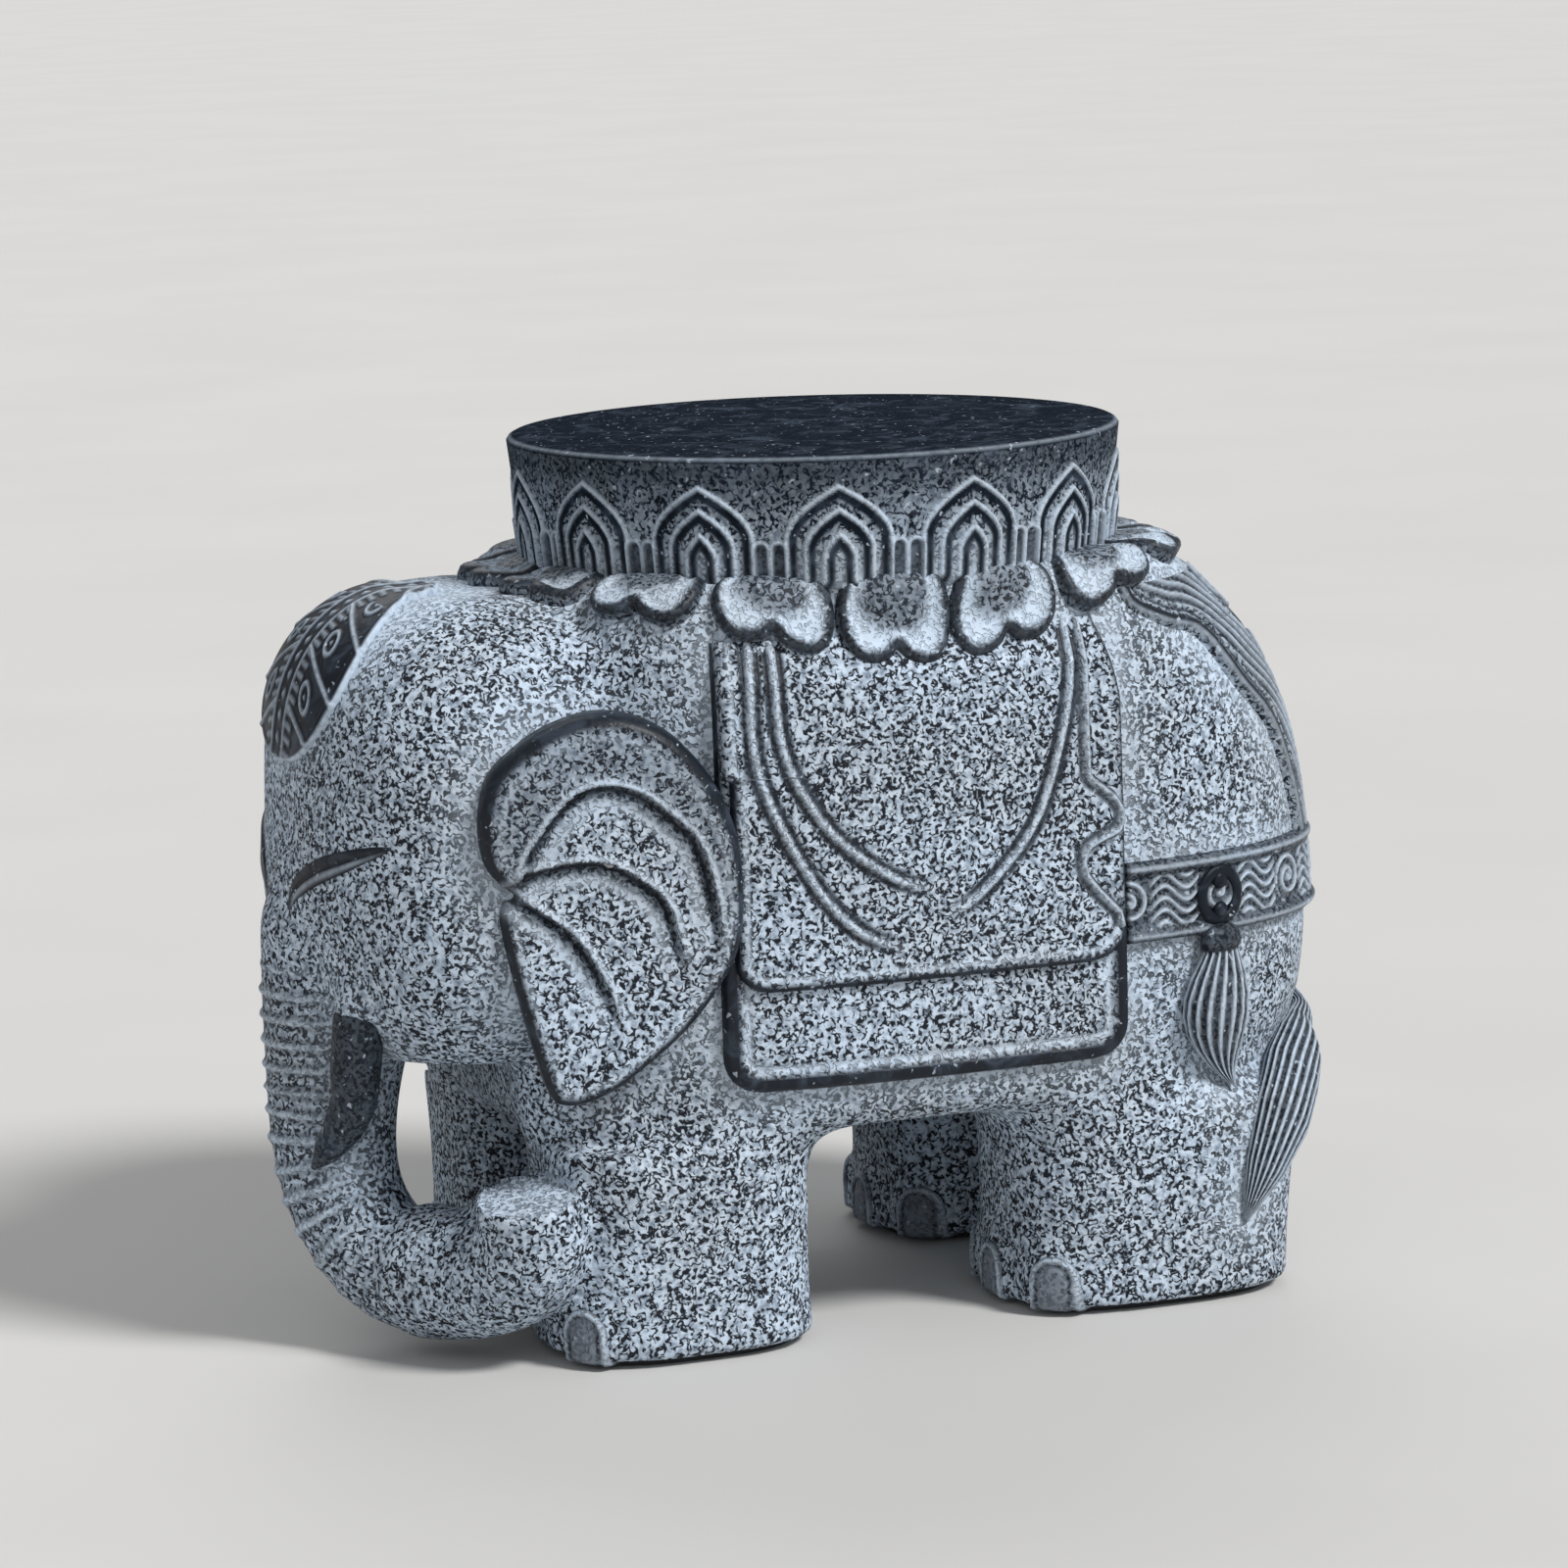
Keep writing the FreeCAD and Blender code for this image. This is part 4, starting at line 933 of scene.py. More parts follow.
SWAGS = (
    ((-0.0579, 0.3040), (-0.0576, 0.2547), (-0.0411, 0.2121), (-0.0201, 0.1832), (0.0039, 0.1705)),
    ((-0.0492, 0.3040), (-0.0462, 0.2578), (-0.0277, 0.2233), (-0.0019, 0.2023), (0.0179, 0.1950)),
    ((0.0820, 0.3060), (0.0790, 0.2678), (0.0650, 0.2233), (0.0425, 0.1961), (0.0220, 0.1825)),
)
CORD_WIDTH = 0.0021
CORD_HEIGHT = 0.0012
CORD_GAP = 0.0030
CORD_CUT = 0.0010
CORD_FADE = 0.02
# Darkness of the painted shade in the grooves beside the swag cords and the hem cord.
SWAG_SHADE = 0.95
HEM_SHADE = 0.9
HEM_OUT = 0.0026
HEM_WIDTH = 0.0019
HEM_FRONT_X = 0.060
STRAP_BACK_X = -0.0618
STRAP_OUT = 0.0035
STRAP_FOOT_Z = 0.2470
STRAP_RISE = 0.0012
STRAP_GROOVE = 0.0018
STRAP_FOOT_GROOVE = 0.0020
CLOTH_GRID = (190, 150)
SOFT_EDGE = 0.001


def cloth_front(level):
    strap = STRAP_OUT * ramp(STRAP_FOOT_Z, level, SOFT_EDGE)
    return CLOTH_FRONT_X - strap + corner_inset(level, CLOTH_LEVELS[0], CLOTH_CORNER)


def cloth_back(level):
    return float(np.interp(level, [step[0] for step in CLOTH_BACK], [step[1] for step in CLOTH_BACK]))


cloth_edge = panel_edge(cloth_front, cloth_back, CLOTH_LEVELS)


def cloth_relief(flat):
    across, up = flat.T
    edge, _ = line_distance(flat, cloth_edge)
    heights = tucked(CLOTH_LIFT, up) + rolled(edge, CLOTH_ROLL)
    # The dark stripe along the edge is painted shade, standing for the shadow line at the cloth's edge.
    polish = stripe(edge, CLOTH_SHADED_RIM)
    wash = 0.7 * ridge(edge, CLOTH_SHADED_RIM * 1.2, CLOTH_WASH_WIDTH)
    cords = []
    for swag in SWAGS:
        line = curve_through(swag)
        distance, along = line_distance(flat, line)
        cords.append((distance, CORD_WIDTH, ramp(along, run_lengths(line)[-1], CORD_FADE), SWAG_SHADE))
    lobed = (across > HEM_FRONT_X) & (up > CLOTH_LEVELS[0] + CLOTH_CORNER)
    cords.append((edge - HEM_OUT, HEM_WIDTH, lobed, HEM_SHADE))
    # Beside each cord, on the swags and along the hem, a shallow groove is cut. Its dark polish share is
    # painted shade, standing for the cord's shadow.
    for distance, width, share, dark in cords:
        cord = ridge(distance, 0, width) * share
        gap = ridge(distance, CORD_GAP, CORD_GAP * 0.8) * share
        heights += CORD_HEIGHT * cord - CORD_CUT * gap
        polish = np.maximum(polish, dark * np.clip(1.5 * gap, 0, 1))
        wash = np.maximum(wash * (1 - gap), 0.85 * cord)
    strap = (across < STRAP_BACK_X) & (up > STRAP_FOOT_Z)
    heights += np.where(strap, STRAP_RISE, 0)
    beside = ridge(across, STRAP_BACK_X, STRAP_GROOVE) * (up > STRAP_FOOT_Z - SOFT_EDGE)
    foot = ridge(up, STRAP_FOOT_Z, STRAP_FOOT_GROOVE) * (across < STRAP_BACK_X)
    polish = np.maximum.reduce([np.where(strap, 0.35 * polish, polish), 0.9 * beside, 0.9 * foot])
    return heights, np.clip(polish, 0, 1), wash


hang_panels("cloth_panel_", "saddle_cloth_", CLOTH_GRID, CLOTH_LEVELS, cloth_front, cloth_back, cloth_relief)


# Crupper band. A strap in relief runs round the rump from skirt to skirt, with rolled edges and a row of
# scrolls and waves between them.
CRUPPER_AXIS_X = 0.108
CRUPPER_LEVELS = (0.1620, 0.1970)
CRUPPER_MIDDLE_Z = sum(CRUPPER_LEVELS) / 2
CRUPPER_LIFT = 0.0034
CRUPPER_ROLL = 0.0062
CRUPPER_ROLL_RISE = 0.0018
CRUPPER_EDGE = 0.0024
CRUPPER_CREST = 0.0016
CRUPPER_FIELD_CUT = 0.0010
MARK_RISE = 0.0016
SCROLL_PITCH = 0.046
SCROLL_RADIUS = 0.0102
WAVE_PITCH = 0.0052
WAVE_SWING = 0.0035
SCROLL_EYE = 0.0022
CRUPPER_GRID = (440, 46)
BACKWARDS = (1, 0, 0)


def rump_points(turns, levels):
    """Where level lines from outside meet the rump, by their turn about the saddle's back edge."""
    back, aside = np.cos(turns), np.sin(turns)
    starts = columns(CRUPPER_AXIS_X + back * FAR_OUT, aside * FAR_OUT, levels)
    return land(starts, columns(-back, -aside, 0.0))


turn_steps = np.linspace(-math.pi / 2, math.pi / 2, 181)
rump_length = run_lengths(rump_points(turn_steps, CRUPPER_MIDDLE_Z))


def crupper_place(flat):
    return rump_points(np.interp(flat[:, 0], rump_length, turn_steps), flat[:, 1])


def scroll_marks(across, up, pitch, radius):
    """Height share of a row of spiral scrolls, each with a small eye."""
    out = in_cell(across, pitch) * pitch
    distance = np.hypot(out, up)
    winding = (distance / radius * 2.0 - np.arctan2(up, out) / (2 * math.pi)) % 1.0
    ring = ridge(winding, 0.5, 0.30) * (distance < radius)
    return np.maximum(ring, fall(distance, SCROLL_EYE))


def crupper_relief(flat):
    across = flat[:, 0]
    up = flat[:, 1] - CRUPPER_MIDDLE_Z
    edge = (CRUPPER_LEVELS[1] - CRUPPER_LEVELS[0]) / 2 - np.abs(up)
    roll = ridge(edge, CRUPPER_ROLL / 2, CRUPPER_ROLL * 0.62)
    crest = ridge(edge, CRUPPER_ROLL * 0.45, CRUPPER_CREST)
    field = ramp(CRUPPER_ROLL, edge, SOFT_EDGE)
    scroll = scroll_marks(across, up, SCROLL_PITCH, SCROLL_RADIUS)
    swing = WAVE_SWING * np.sin(across * 4 * math.pi / SCROLL_PITCH)
    waves = fall(np.abs(in_cell(up + swing, WAVE_PITCH, 0)), 0.30)
    waves *= ramp(SCROLL_RADIUS, np.abs(in_cell(across, SCROLL_PITCH)) * SCROLL_PITCH, SOFT_EDGE)
    marks = field * np.maximum(scroll, waves)
    heights = CRUPPER_LIFT + rolled(edge, CRUPPER_EDGE) + CRUPPER_ROLL_RISE * roll
    heights += MARK_RISE * marks - CRUPPER_FIELD_CUT * field
    return heights, 0.8, np.maximum(marks, 0.6 * crest)


chart = ruled_chart(CRUPPER_GRID, CRUPPER_LEVELS, lambda level: 0.0, lambda level: rump_length[-1])
crupper = carved(chart, crupper_place, crupper_relief, BACKWARDS)
finish_piece("crupper_strap", crupper, polished_stone, ["crupper_band"])


# Rump cloth. A broad strap in low relief runs from the lotus collar down to the crupper, with a raised
# edge, feather grooves along it and a row of scrolls further in.
RUMP_EDGE = ((0.1960, 41.0), (0.2180, 43.7), (0.2460, 49.3), (0.2650, 58.2), (0.2890, 68.1), (0.2950, 76.6),
             (0.3040, 86.0), (0.3140, 89.0))
RUMP_LEVELS = (0.1960, 0.3140)
RUMP_LIFT = 0.0030
RUMP_ROLL = 0.0026
RUMP_BORDER = 0.0070
RUMP_BORDER_RISE = 0.0014
RUMP_GROOVE = 0.0018
RUMP_GROOVE_OUT = 0.0012
RUMP_GROOVE_CUT = 0.0010
RUMP_GROUND_CUT = 0.0006
RUMP_CREST = 0.0015
RUMP_REACH = 0.115
FEATHER_PITCH = 0.0056
FEATHER_END = 0.034
RUMP_SCROLL_ROW = 0.046
RUMP_SCROLL_END = 0.060
RUMP_SCROLL_PITCH = 0.034
RUMP_SCROLL_RADIUS = 0.0115
RUMP_GRID = (330, 110)
ROW_START_EASE = 0.002
ROW_END_EASE = 0.003
ROW_GAP = 0.002
rump_side = curve_through(RUMP_EDGE)


def rump_half_turn(level):
    return math.radians(np.interp(level, rump_side[:, 0], rump_side[:, 1]))


rump_edge = panel_edge(lambda level: -rump_half_turn(level), rump_half_turn, RUMP_LEVELS) * (RUMP_REACH, 1)


def rump_relief(flat):
    up = flat[:, 1]
    sides = np.array_split(rump_edge, 2)
    edge = np.minimum(*[line_distance(flat * (RUMP_REACH, 1), side)[0] for side in sides])
    border = ridge(edge, RUMP_BORDER / 2, RUMP_BORDER * 0.6)
    crest = ridge(edge, RUMP_BORDER * 0.3, RUMP_CREST)
    groove = ridge(edge - RUMP_BORDER, RUMP_GROOVE_OUT, RUMP_GROOVE)
    drift = 0.25 * (up - RUMP_LEVELS[0])
    feather = fall(np.abs(in_cell(edge + drift, FEATHER_PITCH, 0)), 0.36)
    feathered = ramp(RUMP_BORDER + ROW_GAP, edge, ROW_START_EASE) * ramp(edge, FEATHER_END, ROW_END_EASE)
    scroll = scroll_marks(up, edge - RUMP_SCROLL_ROW, RUMP_SCROLL_PITCH, RUMP_SCROLL_RADIUS)
    scrolled = ramp(edge, RUMP_SCROLL_END, ROW_END_EASE) * ramp(FEATHER_END, edge, ROW_START_EASE)
    marks = np.maximum(feather * feathered, scroll * scrolled)
    ground = np.maximum(feathered, scrolled)
    heights = tucked(RUMP_LIFT, up) + rolled(edge, RUMP_ROLL) + RUMP_BORDER_RISE * border
    heights += MARK_RISE * marks - RUMP_GROOVE_CUT * groove - RUMP_GROUND_CUT * ground
    polish = np.clip(np.maximum.reduce([border * 1.4, groove, 0.9 * ground]), 0, 1)
    return heights, polish, np.maximum(0.8 * marks, 0.5 * crest)


chart = ruled_chart(RUMP_GRID, RUMP_LEVELS, lambda level: -rump_half_turn(level), rump_half_turn)
rump_cloth = carved(chart, lambda flat: rump_points(*flat.T), rump_relief, BACKWARDS)
finish_piece("rump_strap", rump_cloth, washed_stone, ["rump_cloth"])


# Headdress. A leaf in low relief is carved over the crown, with a beaded band along its middle and
# panels on both sides that hold an eyelet each.
HEADDRESS_TIP = np.array((-0.2260, 0.0, 0.2540))
HEADDRESS_LENGTH = 0.098
HEADDRESS_HALF = 0.045
HEADDRESS_LIFT = 0.0024
LEAF_ROLL = 0.0022
LEAF_MARK_RISE = 0.0010
LEAF_RIM_RISE = 0.0004
LEAF_LINE = 0.0018
LEAF_RIB = 0.0022
LEAF_EDGE_LINE = 0.0016
LEAF_BEAD_PITCH = 0.0075
LEAF_BEAD = 0.0034
HEADDRESS_AIM = np.array((-1, 0, 1)) / math.sqrt(2)
HEADDRESS_RUN = np.array((1, 0, 1)) / math.sqrt(2)
PANEL_PITCH = 0.0235
BAND_HALF = 0.0075
EYELET_OUT = 0.024
EYELET_RADIUS = 0.0048
EYELET_CLEAR = 0.010
LEAF_STAND_OFF = 0.2
LEAF_GRID = (130, 170)
LEAF_THIN_END = 0.002
PANEL_LINE_PITCH = 0.0047
EYELET_MARGIN = 0.008
LEAF_RIM = 0.0022
LEAF_RIM_WIDTH = 0.0026


def leaf_half(level):
    share = min(max(level / HEADDRESS_LENGTH, 0.0), 1.0)
    return HEADDRESS_HALF * max(math.sin(math.pi * share ** 0.72), 0.0) ** 0.62 + LEAF_THIN_END


leaf_edge = panel_edge(lambda level: -leaf_half(level), leaf_half, (0.0, HEADDRESS_LENGTH))


def leaf_place(flat):
    starts = HEADDRESS_TIP + flat[:, 1:] * HEADDRESS_RUN + flat[:, :1] * (0, 1, 0)
    return land(starts + HEADDRESS_AIM * LEAF_STAND_OFF, -HEADDRESS_AIM)


def leaf_relief(flat):
    edge, _ = line_distance(flat, leaf_edge)
    across, up = flat.T
    out = np.abs(across)
    cell = ((up + 0.45 * out) / PANEL_PITCH) % 1.0
    rib = fall(np.minimum(cell, 1 - cell) * PANEL_PITCH, LEAF_RIB) * (out > BAND_HALF)
    from_eyelet = np.hypot((cell - 0.5) * PANEL_PITCH, out - EYELET_OUT)
    eyelet = np.maximum(ridge(from_eyelet, EYELET_RADIUS, LEAF_LINE), fall(from_eyelet, LEAF_LINE))
    eyelet *= np.array([leaf_half(level) for level in up]) > EYELET_OUT + EYELET_CLEAR
    lines = 0.5 + 0.5 * np.cos(2 * math.pi * (cell * PANEL_PITCH - 0.3 * out) / PANEL_LINE_PITCH)
    lines *= (out > BAND_HALF) & (out < EYELET_OUT - EYELET_MARGIN)
    beads = fall(np.hypot(in_cell(up, LEAF_BEAD_PITCH) * LEAF_BEAD_PITCH, across), LEAF_BEAD)
    marks = np.maximum.reduce([rib, eyelet, 0.7 * lines, beads, ridge(out, BAND_HALF, LEAF_LINE)])
    heights = HEADDRESS_LIFT + rolled(edge, LEAF_ROLL) + LEAF_MARK_RISE * marks
    heights += LEAF_RIM_RISE * ridge(edge, LEAF_RIM, LEAF_RIM_WIDTH)
    wash = np.clip(0.85 * marks - 0.15, 0, 1)
    return heights, 1.0, np.maximum(wash, 0.9 * stripe(edge, LEAF_EDGE_LINE))


chart = ruled_chart(LEAF_GRID, (0.0, HEADDRESS_LENGTH), lambda level: -leaf_half(level), leaf_half)
leaf = carved(chart, leaf_place, leaf_relief, HEADDRESS_AIM)
finish_piece("forehead_leaf", leaf, polished_stone, ["headdress"])


# Tassels. Each hangs from an oval ring on the crupper that holds two beads: a domed cap and a skirt of
# twisted strands that ends in a point.
TASSEL_PROFILE = ((0.0000, 0.1668), (0.0056, 0.1660), (0.0094, 0.1632), (0.0108, 0.1590), (0.0106, 0.1566),
                  (0.0090, 0.1553), (0.0106, 0.1520), (0.0146, 0.1440), (0.0172, 0.1350), (0.0176, 0.1275),
                  (0.0160, 0.1190), (0.0124, 0.1110), (0.0080, 0.1035), (0.0040, 0.0975), (0.0000, 0.0930))
STRAND_TOP_Z = 0.1545
STRANDS = 16
STRAND_TWIST = 6.0
STRAND_DEPTH = 0.0020
TIP_BEND = 0.007
BELLY_BEND = -0.003
RING_HALF_WIDTH = 0.0096
RING_HALF_HEIGHT = 0.0106
RING_WIRE = 0.0026
RING_Z = 0.1785
BEAD_RADIUS = 0.0038
BEAD_RISE = 0.0066
TASSEL_FLATTEN = 0.62
TASSEL_LIFT = 0.0045
LEAST_STRAND_RADIUS = 0.004


def turned(profile, centre_x, cuts, steps):
    """Round piece about an upright axis, from its profile."""
    shape = bmesh.new()
    outline = [shape.verts.new((centre_x + radius, 0, z)) for radius, z in profile]
    edges = [shape.edges.new(pair) for pair in zip(outline[:-1], outline[1:])]
    if cuts:
        bmesh.ops.subdivide_edges(shape, edges=edges, cuts=cuts)
    bmesh.ops.spin(shape, geom=shape.verts[:] + shape.edges[:], axis=(0, 0, 1), cent=(centre_x, 0, 0),
                   dvec=(0, 0, 0), angle=2 * math.pi, steps=steps, use_merge=True)
    bmesh.ops.remove_doubles(shape, verts=shape.verts, dist=1e-6)
    return shape


def tassel_shape():
    """Tassel about the upright axis through the origin."""
    shape = turned(TASSEL_PROFILE, 0.0, 2, 104)
    wash = []
    for vert in shape.verts:
        radius = math.hypot(vert.co.x, vert.co.y)
        turn = math.atan2(vert.co.y, vert.co.x)
        crest = 0.0
        drop = STRAND_TOP_Z - vert.co.z
        if drop > 0:
            groove = groove_share(turn + STRAND_TWIST * drop, STRANDS)
            crest = max(0.0, 1 - 2.2 * groove)
            scale = 1 - STRAND_DEPTH * groove / max(radius, LEAST_STRAND_RADIUS)
            share = drop / (STRAND_TOP_Z - TASSEL_PROFILE[-1][1])
            vert.co.x = vert.co.x * scale + TIP_BEND * share ** 3 + BELLY_BEND * math.sin(math.pi * share)
            vert.co.y *= scale
        wash.append(crest)
    set_shares(shape, RUBBED, wash)
    ring = bmesh.new()
    bmesh.ops.create_grid(ring, x_segments=72, y_segments=20, size=0.5)
    for vert in ring.verts:
        turn = 2 * math.pi * (vert.co.x + 0.5)
        wire = 2 * math.pi * (vert.co.y + 0.5)
        out = RING_WIRE * math.cos(wire)
        vert.co = ((RING_HALF_WIDTH + out) * math.cos(turn), RING_WIRE * math.sin(wire),
                   RING_Z + (RING_HALF_HEIGHT + out) * math.sin(turn))
    for rise in (-BEAD_RISE, BEAD_RISE):
        bmesh.ops.create_uvsphere(ring, u_segments=28, v_segments=18, radius=BEAD_RADIUS,
                                  matrix=Matrix.Translation((0, 0, RING_Z + rise)))
    bmesh.ops.remove_doubles(ring, verts=ring.verts, dist=1e-6)
    set_shares(ring, 1.0, 0.0)
    gather(shape, ring)
    return shape


for word, side in SIDES.items():
    low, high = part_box("tassel_" + word)
    tassel = tassel_shape()
    centre_x = (low.x + high.x) / 2
    for vert in tassel.verts:
        vert.co.y *= TASSEL_FLATTEN
        if side > 0:
            vert.co.y = -vert.co.y
        start = Vector((centre_x + vert.co.x, side * FAR_OUT, min(vert.co.z, CRUPPER_LEVELS[1])))
        ground = body_tree.ray_cast(start, Vector((0, -side, 0)))[0]
        vert.co = (start.x, ground.y + side * TASSEL_LIFT + vert.co.y, vert.co.z)
    bmesh.ops.recalc_face_normals(tassel, faces=tassel.faces[:])
    finish_piece("hanging_tassel_" + word, tassel, polished_stone, ["tassel_" + word])


# Tail. It leaves the rump behind, swings to the left and ends in a broad grooved brush that lies on the
# side of the hind leg.
TAIL_LINE = ((0.2240, 0.0000, 0.1180), (0.2290, -0.0180, 0.1150), (0.2270, -0.0480, 0.1080),
             (0.2135, -0.0730, 0.1030), (0.2060, -0.0880, 0.0985), (0.1960, -0.1010, 0.0900),
             (0.1850, -0.1140, 0.0765), (0.1730, -0.1210, 0.0560), (0.1620, -0.1235, 0.0340))
TAIL_RADII = (0.0060, 0.0064, 0.0070, 0.0115, 0.0170, 0.0190, 0.0180, 0.0125, 0.0015)
TAIL_FLATTEN = (0.33, -0.50, 0.0)
TAIL_GROOVES = 20
TAIL_GROOVE_DEPTH = 0.0015
tail = swept(TAIL_LINE, TAIL_RADII, TAIL_FLATTEN, TAIL_GROOVES, TAIL_GROOVE_DEPTH, spokes=140, per_span=14)
finish_piece("tail_brush", tail, polished_stone, ["tail"])


# Lotus collar. Sixteen heart-shaped petals lie round the foot of the drum. Each has a thick rolled rim,
# polished by hands, and a chiselled middle with the wash round it.
PETAL_COUNT = 16
PETAL_PHASE = -97.0
PETAL_ROOT_RADIUS = 0.1270
PETAL_ROOT_Z = 0.3275
PETAL_SLOPE = math.radians(45.0)
PETAL_EDGE = ((0.0000, 0.0216), (0.0040, 0.0249), (0.0115, 0.0264), (0.0185, 0.0245), (0.0235, 0.0187),
              (0.0252, 0.0105), (0.0240, 0.0030), (0.0195, -0.0030), (0.0100, -0.0055), (0.0000, -0.0060))
PETAL_CENTRE = (0.0, 0.0085)
PETAL_FOOT_B = -0.0060
PETAL_RIM_FOOT_B = -0.0030
PETAL_RIM = 0.0052
PETAL_LIFT = 0.0030
PETAL_RISE = 0.0045
PETAL_DISH = 0.0022
PETAL_DOME_B = 0.0050
PETAL_DOME_RISE = 0.0024
PETAL_LENGTH = 0.025
PETAL_FOOT_RUN = 0.008
PETAL_RINGS = 20
PETAL_STAND_OFF = 0.1
PETAL_DOME_SIZE = (0.0150, 0.0105)
PETAL_DOME_END = 1.15
PETAL_DOME_EASE = 0.35
PETAL_DISH_RUN = 0.0030
PETAL_WASH_RUN = 0.002
right_half = curve_through(PETAL_EDGE, per_span=6)
petal_edge = np.vstack([right_half, right_half[1:-1][::-1] * (-1, 1)])
petal_rim = np.roll(petal_edge, -int(np.argmin(petal_edge[:, 1])), axis=0)
petal_rim = petal_rim[petal_rim[:, 1] > PETAL_RIM_FOOT_B]


def petal_relief(flat):
    up = flat[:, 1]
    edge, _ = line_distance(flat, petal_rim)
    rim = ridge(edge, PETAL_RIM * 0.4, PETAL_RIM * 0.7)
    dish = ramp(PETAL_RIM * 0.8, edge, PETAL_DISH_RUN)
    from_middle = np.linalg.norm((flat - (0, PETAL_DOME_B)) / PETAL_DOME_SIZE, axis=1)
    dome = ramp(from_middle, PETAL_DOME_END, PETAL_DOME_EASE)
    heights = PETAL_LIFT + PETAL_RISE * np.clip(up / PETAL_LENGTH, 0, 1) + rolled(edge, PETAL_RIM)
    heights += PETAL_DOME_RISE * dome - PETAL_DISH * dish
    heights *= np.clip((up - PETAL_FOOT_B) / PETAL_FOOT_RUN, 0.1, 1)
    polish = np.maximum(np.clip(rim * 1.5, 0, 0.95), 0.60 * dome)
    return heights, polish, 0.9 * (1 - dome) * ramp(PETAL_RIM * 0.75, edge, PETAL_WASH_RUN)


petals = bmesh.new()
for number in range(PETAL_COUNT):
    turn = math.radians(PETAL_PHASE + number * 360 / PETAL_COUNT)
    out = np.array([math.cos(turn), math.sin(turn), 0])
    across = np.array([-math.sin(turn), math.cos(turn), 0])
    down = out * math.sin(PETAL_SLOPE) - np.array([0, 0, math.cos(PETAL_SLOPE)])
    toward = -out * math.cos(PETAL_SLOPE) - np.array([0, 0, math.sin(PETAL_SLOPE)])
    root = np.array([SEAT_X, 0, PETAL_ROOT_Z]) + out * PETAL_ROOT_RADIUS

    def petal_place(flat):
        return land(root + flat[:, :1] * across + flat[:, 1:] * down - toward * PETAL_STAND_OFF, toward)

    chart = round_chart(PETAL_CENTRE, petal_edge, PETAL_RINGS)
    gather(petals, carved(chart, petal_place, petal_relief, -toward))
finish_piece("lotus_petals", petals, washed_stone, ["petal_collar"])


# Seat drum. A thick-walled stone drum with a smooth rubbed top; a row of nested pointed arches with
# small twin loops between them is carved round its wall.
ARCH_COUNT = 14
ARCH_PHASE = -107.0
ARCH_SIZES = ((0.0228, 0.0400), (0.0150, 0.0305), (0.0075, 0.0205))
ARCH_STEP = 0.0010
ARCH_LINE = 0.0018
ARCH_DROP = 0.006
ARCH_BAND = 0.0042
ARRIS_WASH = 0.35
ARCH_LINE_RISE = 0.0010
WALL_DARK_Z = 0.022
WALL_DARK_RUN = 0.022
LOOP_RADIUS = 0.0032
LOOP_RISE = 0.0125
LOOP_OUT = 0.0036
LOOP_LINE = 0.0015
LOOP_LINE_RISE = 0.0013
DRUM_STEPS = ARCH_COUNT * 80
DRUM_ROWS = 64
DRUM_EDGE = 0.0026
SEAT_POLISH = 0.985
DRUM_TAPER = 0.006
DRUM_FOOT_SINK = 0.010
WALL_DEPTH = 0.003
WALL_TOP_GAP = 0.0005
ARRIS_REACH = 0.0003
SEAT_RADIUS = (drum_high.y - drum_low.y) / 2
DRUM_FOOT_RADIUS = SEAT_RADIUS - DRUM_TAPER
DRUM_FOOT_Z = drum_low.z - DRUM_FOOT_SINK
ARRIS_RADIUS = SEAT_RADIUS - 0.35 * DRUM_EDGE
# Radius and depth below the seat of the points round the drum's upper edge.
DRUM_TOP = ((0.0, 0.0002), (SEAT_RADIUS * 0.5, 0.0001), (SEAT_RADIUS - 2 * DRUM_EDGE, 0.0),
            (SEAT_RADIUS - DRUM_EDGE, 0.0004), (ARRIS_RADIUS, 0.0012), (SEAT_RADIUS, DRUM_EDGE))


def arch_marks(across, up, half, height):
    """Whether a place lies within a pointed arch, and how near it is to the arch's outline."""
    levels = np.linspace(0, 1, 40)
    line = columns(half * (1 - ramp(0.42, levels, 0.58) ** 1.9), levels * height)
    distance, _ = line_distance(columns(np.abs(across), up), line)
    return (np.abs(across) < np.interp(up, line[:, 1], line[:, 0])) & (up < height), distance


edge_z = drum_high.z - DRUM_EDGE
profile = [(radius, drum_high.z - depth) for radius, depth in DRUM_TOP]
for share in np.arange(1, DRUM_ROWS + 1) / DRUM_ROWS:
    radius = SEAT_RADIUS + (DRUM_FOOT_RADIUS - SEAT_RADIUS) * share
    profile.append((radius, edge_z + (DRUM_FOOT_Z - edge_z) * share))
drum = turned(profile + [(0.0, DRUM_FOOT_Z)], SEAT_X, 0, DRUM_STEPS)
bmesh.ops.recalc_face_normals(drum, faces=drum.faces[:])
points = places(drum.verts)
out = (points - (SEAT_X, 0, 0)) * (1, 1, 0)
radii = np.linalg.norm(out, axis=1)
pitch = 2 * math.pi / ARCH_COUNT
turns = np.arctan2(out[:, 1], out[:, 0]) - math.radians(ARCH_PHASE)
across = in_cell(turns, pitch) * pitch * DRUM_FOOT_RADIUS
up = points[:, 2] - drum_low.z + ARCH_DROP
wall = (radii > DRUM_FOOT_RADIUS - WALL_DEPTH) & (points[:, 2] < edge_z - WALL_TOP_GAP)
cells, cell_of = np.unique(np.round(columns(across, up), 5), axis=0, return_inverse=True)
across, up = cells.T
lift = np.zeros(len(cells))
polish = 0.45 + 0.4 * ramp(WALL_DARK_Z, up, WALL_DARK_RUN)
wash = 0.4 * fall(up, WALL_DARK_Z)
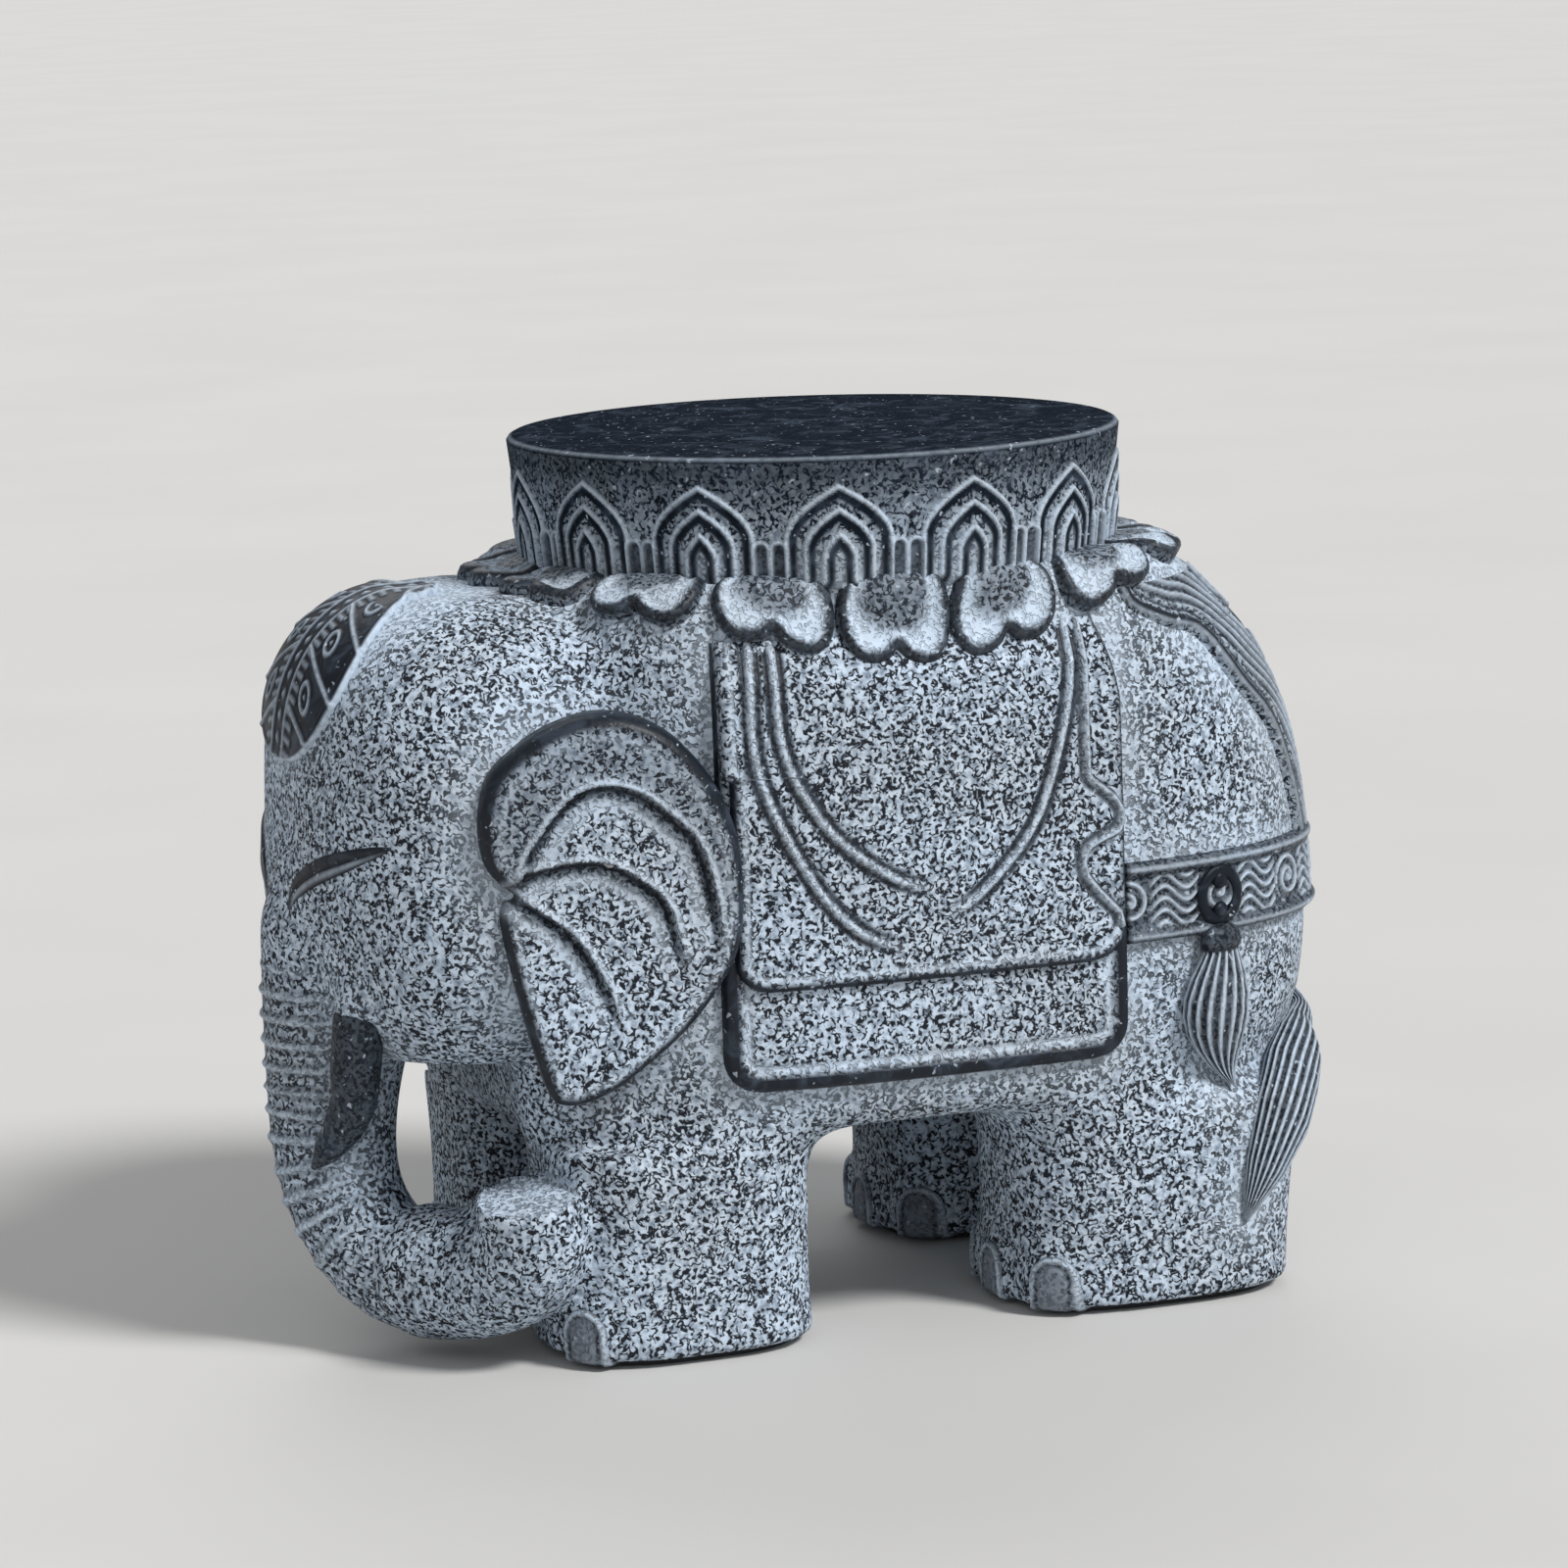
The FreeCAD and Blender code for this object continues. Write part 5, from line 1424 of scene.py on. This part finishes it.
for half, height in ARCH_SIZES:
    within, distance = arch_marks(across, up, half, height)
    line = ridge(distance, ARCH_LINE / 2, ARCH_LINE) * within
    band = ridge(distance - ARCH_LINE, ARCH_BAND / 2, ARCH_BAND * 0.8) * within
    lift += within * ARCH_STEP * np.clip(distance / ARCH_LINE, 0, 1) + ARCH_LINE_RISE * line
    polish = np.maximum(polish, np.clip(1.5 * band, 0, 1))
    wash = np.maximum(wash * (1 - band), 0.85 * line)
between = np.abs(np.abs(across) - pitch * DRUM_FOOT_RADIUS / 2)
loop_spine = np.array([(LOOP_OUT, 0.0), (LOOP_OUT, LOOP_RISE)])
distance, _ = line_distance(columns(between, up), loop_spine)
within = distance < LOOP_RADIUS
line = ridge(distance, LOOP_RADIUS, LOOP_LINE)
lift += LOOP_LINE_RISE * line
polish = np.maximum(polish, 0.9 * within)
wash = np.maximum(wash * (1 - 0.8 * within), 0.8 * line)
lift, polish, wash = (marks[cell_of.ravel()] for marks in (lift, polish, wash))
arris = (np.abs(radii - ARRIS_RADIUS) < ARRIS_REACH) & (points[:, 2] > edge_z)
rise = np.where(wall, lift, 0) / np.maximum(radii, 1e-6)
move_to(drum.verts, points + out * rise[:, None])
set_shares(drum, np.where(wall, polish, SEAT_POLISH), np.where(wall, wash, ARRIS_WASH * arris))
seat_stone = stone_finish("seat_stone", 0.0006, 0.0)
finish_piece("carved_drum", drum, seat_stone, ["seat_drum"])


# Camera, at the place and angle of the reference view.
CAMERA_PLACE = (-0.9083, -2.3712, 0.6365)
CAMERA_RIGHT = (0.931432, -0.362710, -0.029605)
CAMERA_UP = (0.085602, 0.139302, 0.986543)
CAMERA_BACK = (-0.353705, -0.921432, 0.160799)
LENS = 135.0
camera_data = bpy.data.cameras.new("camera")
camera_data.lens = LENS
camera = link("camera", camera_data)
camera.matrix_world = Matrix((CAMERA_RIGHT, CAMERA_UP, CAMERA_BACK)).transposed().to_4x4()
camera.location = CAMERA_PLACE
bpy.context.scene.camera = camera


# Pale floor that runs off into a backdrop of the same tone, and soft lamps: the main one stands high on
# the camera's right.
FLOOR_COLOUR = (0.62, 0.61, 0.59, 1)
FLOOR_WORN_COLOUR = (0.64, 0.63, 0.61, 1)
FLOOR_HALF = 40.0
BACKDROP_COLOUR = (0.66, 0.65, 0.63, 1)
AMBIENT_COLOUR = (0.78, 0.80, 0.83, 1)
AMBIENT_STRENGTH = 0.36
LAMPS = {
    "key": ((1.0, -1.4, 1.8), 14.0, 2.8),
    "fill": ((-1.2, -1.6, 0.9), 60.0, 0.30),
    "rim": ((0.4, 1.6, 1.4), 40.0, 0.7),
}
floor_bm = bmesh.new()
bmesh.ops.create_grid(floor_bm, x_segments=2, y_segments=2, size=FLOOR_HALF)
floor_mesh = to_mesh("floor", floor_bm)
floor = link("floor", floor_mesh)
floor_material, floor_tree, floor_shader, floor_coordinates = new_finish("floor_paint")
floor_tone = ease(floor_tree, noise(floor_tree, floor_coordinates, 3.0, 3.0, 0.0), 0.3, 0.7, 0.0, 1.0)
floor_colour = blend_colour(floor_tree, floor_tone, FLOOR_COLOUR, FLOOR_WORN_COLOUR)
plug(floor_tree, floor_shader, {"Base Color": floor_colour, "Roughness": 0.6, "Specular IOR Level": 0.05})
floor_mesh.materials.append(floor_material)

for name, (place, angle, strength) in LAMPS.items():
    lamp = bpy.data.lights.new(name, "SUN")
    lamp.angle = math.radians(angle)
    lamp.energy = strength
    lamp_object = link(name, lamp)
    lamp_object.location = place
    lamp_object.rotation_euler = Vector(place).to_track_quat("Z", "Y").to_euler()
world = bpy.data.worlds.new("studio")
world.use_nodes = True
world_tree = world.node_tree
ambient = world_tree.nodes["Background"]
plug(world_tree, ambient.inputs, {"Color": AMBIENT_COLOUR, "Strength": AMBIENT_STRENGTH})
backdrop = add_node(world_tree, "ShaderNodeBackground", {"Color": BACKDROP_COLOUR, "Strength": 1.0})
seen = add_node(world_tree, "ShaderNodeLightPath", {}).outputs["Is Camera Ray"]
surround = add_node(world_tree, "ShaderNodeMixShader",
                    {0: seen, 1: ambient.outputs[0], 2: backdrop.outputs[0]})
world_tree.links.new(surround.outputs[0], world_tree.nodes["World Output"].inputs["Surface"])
bpy.context.scene.world = world
bpy.context.scene.view_settings.view_transform = "Standard"
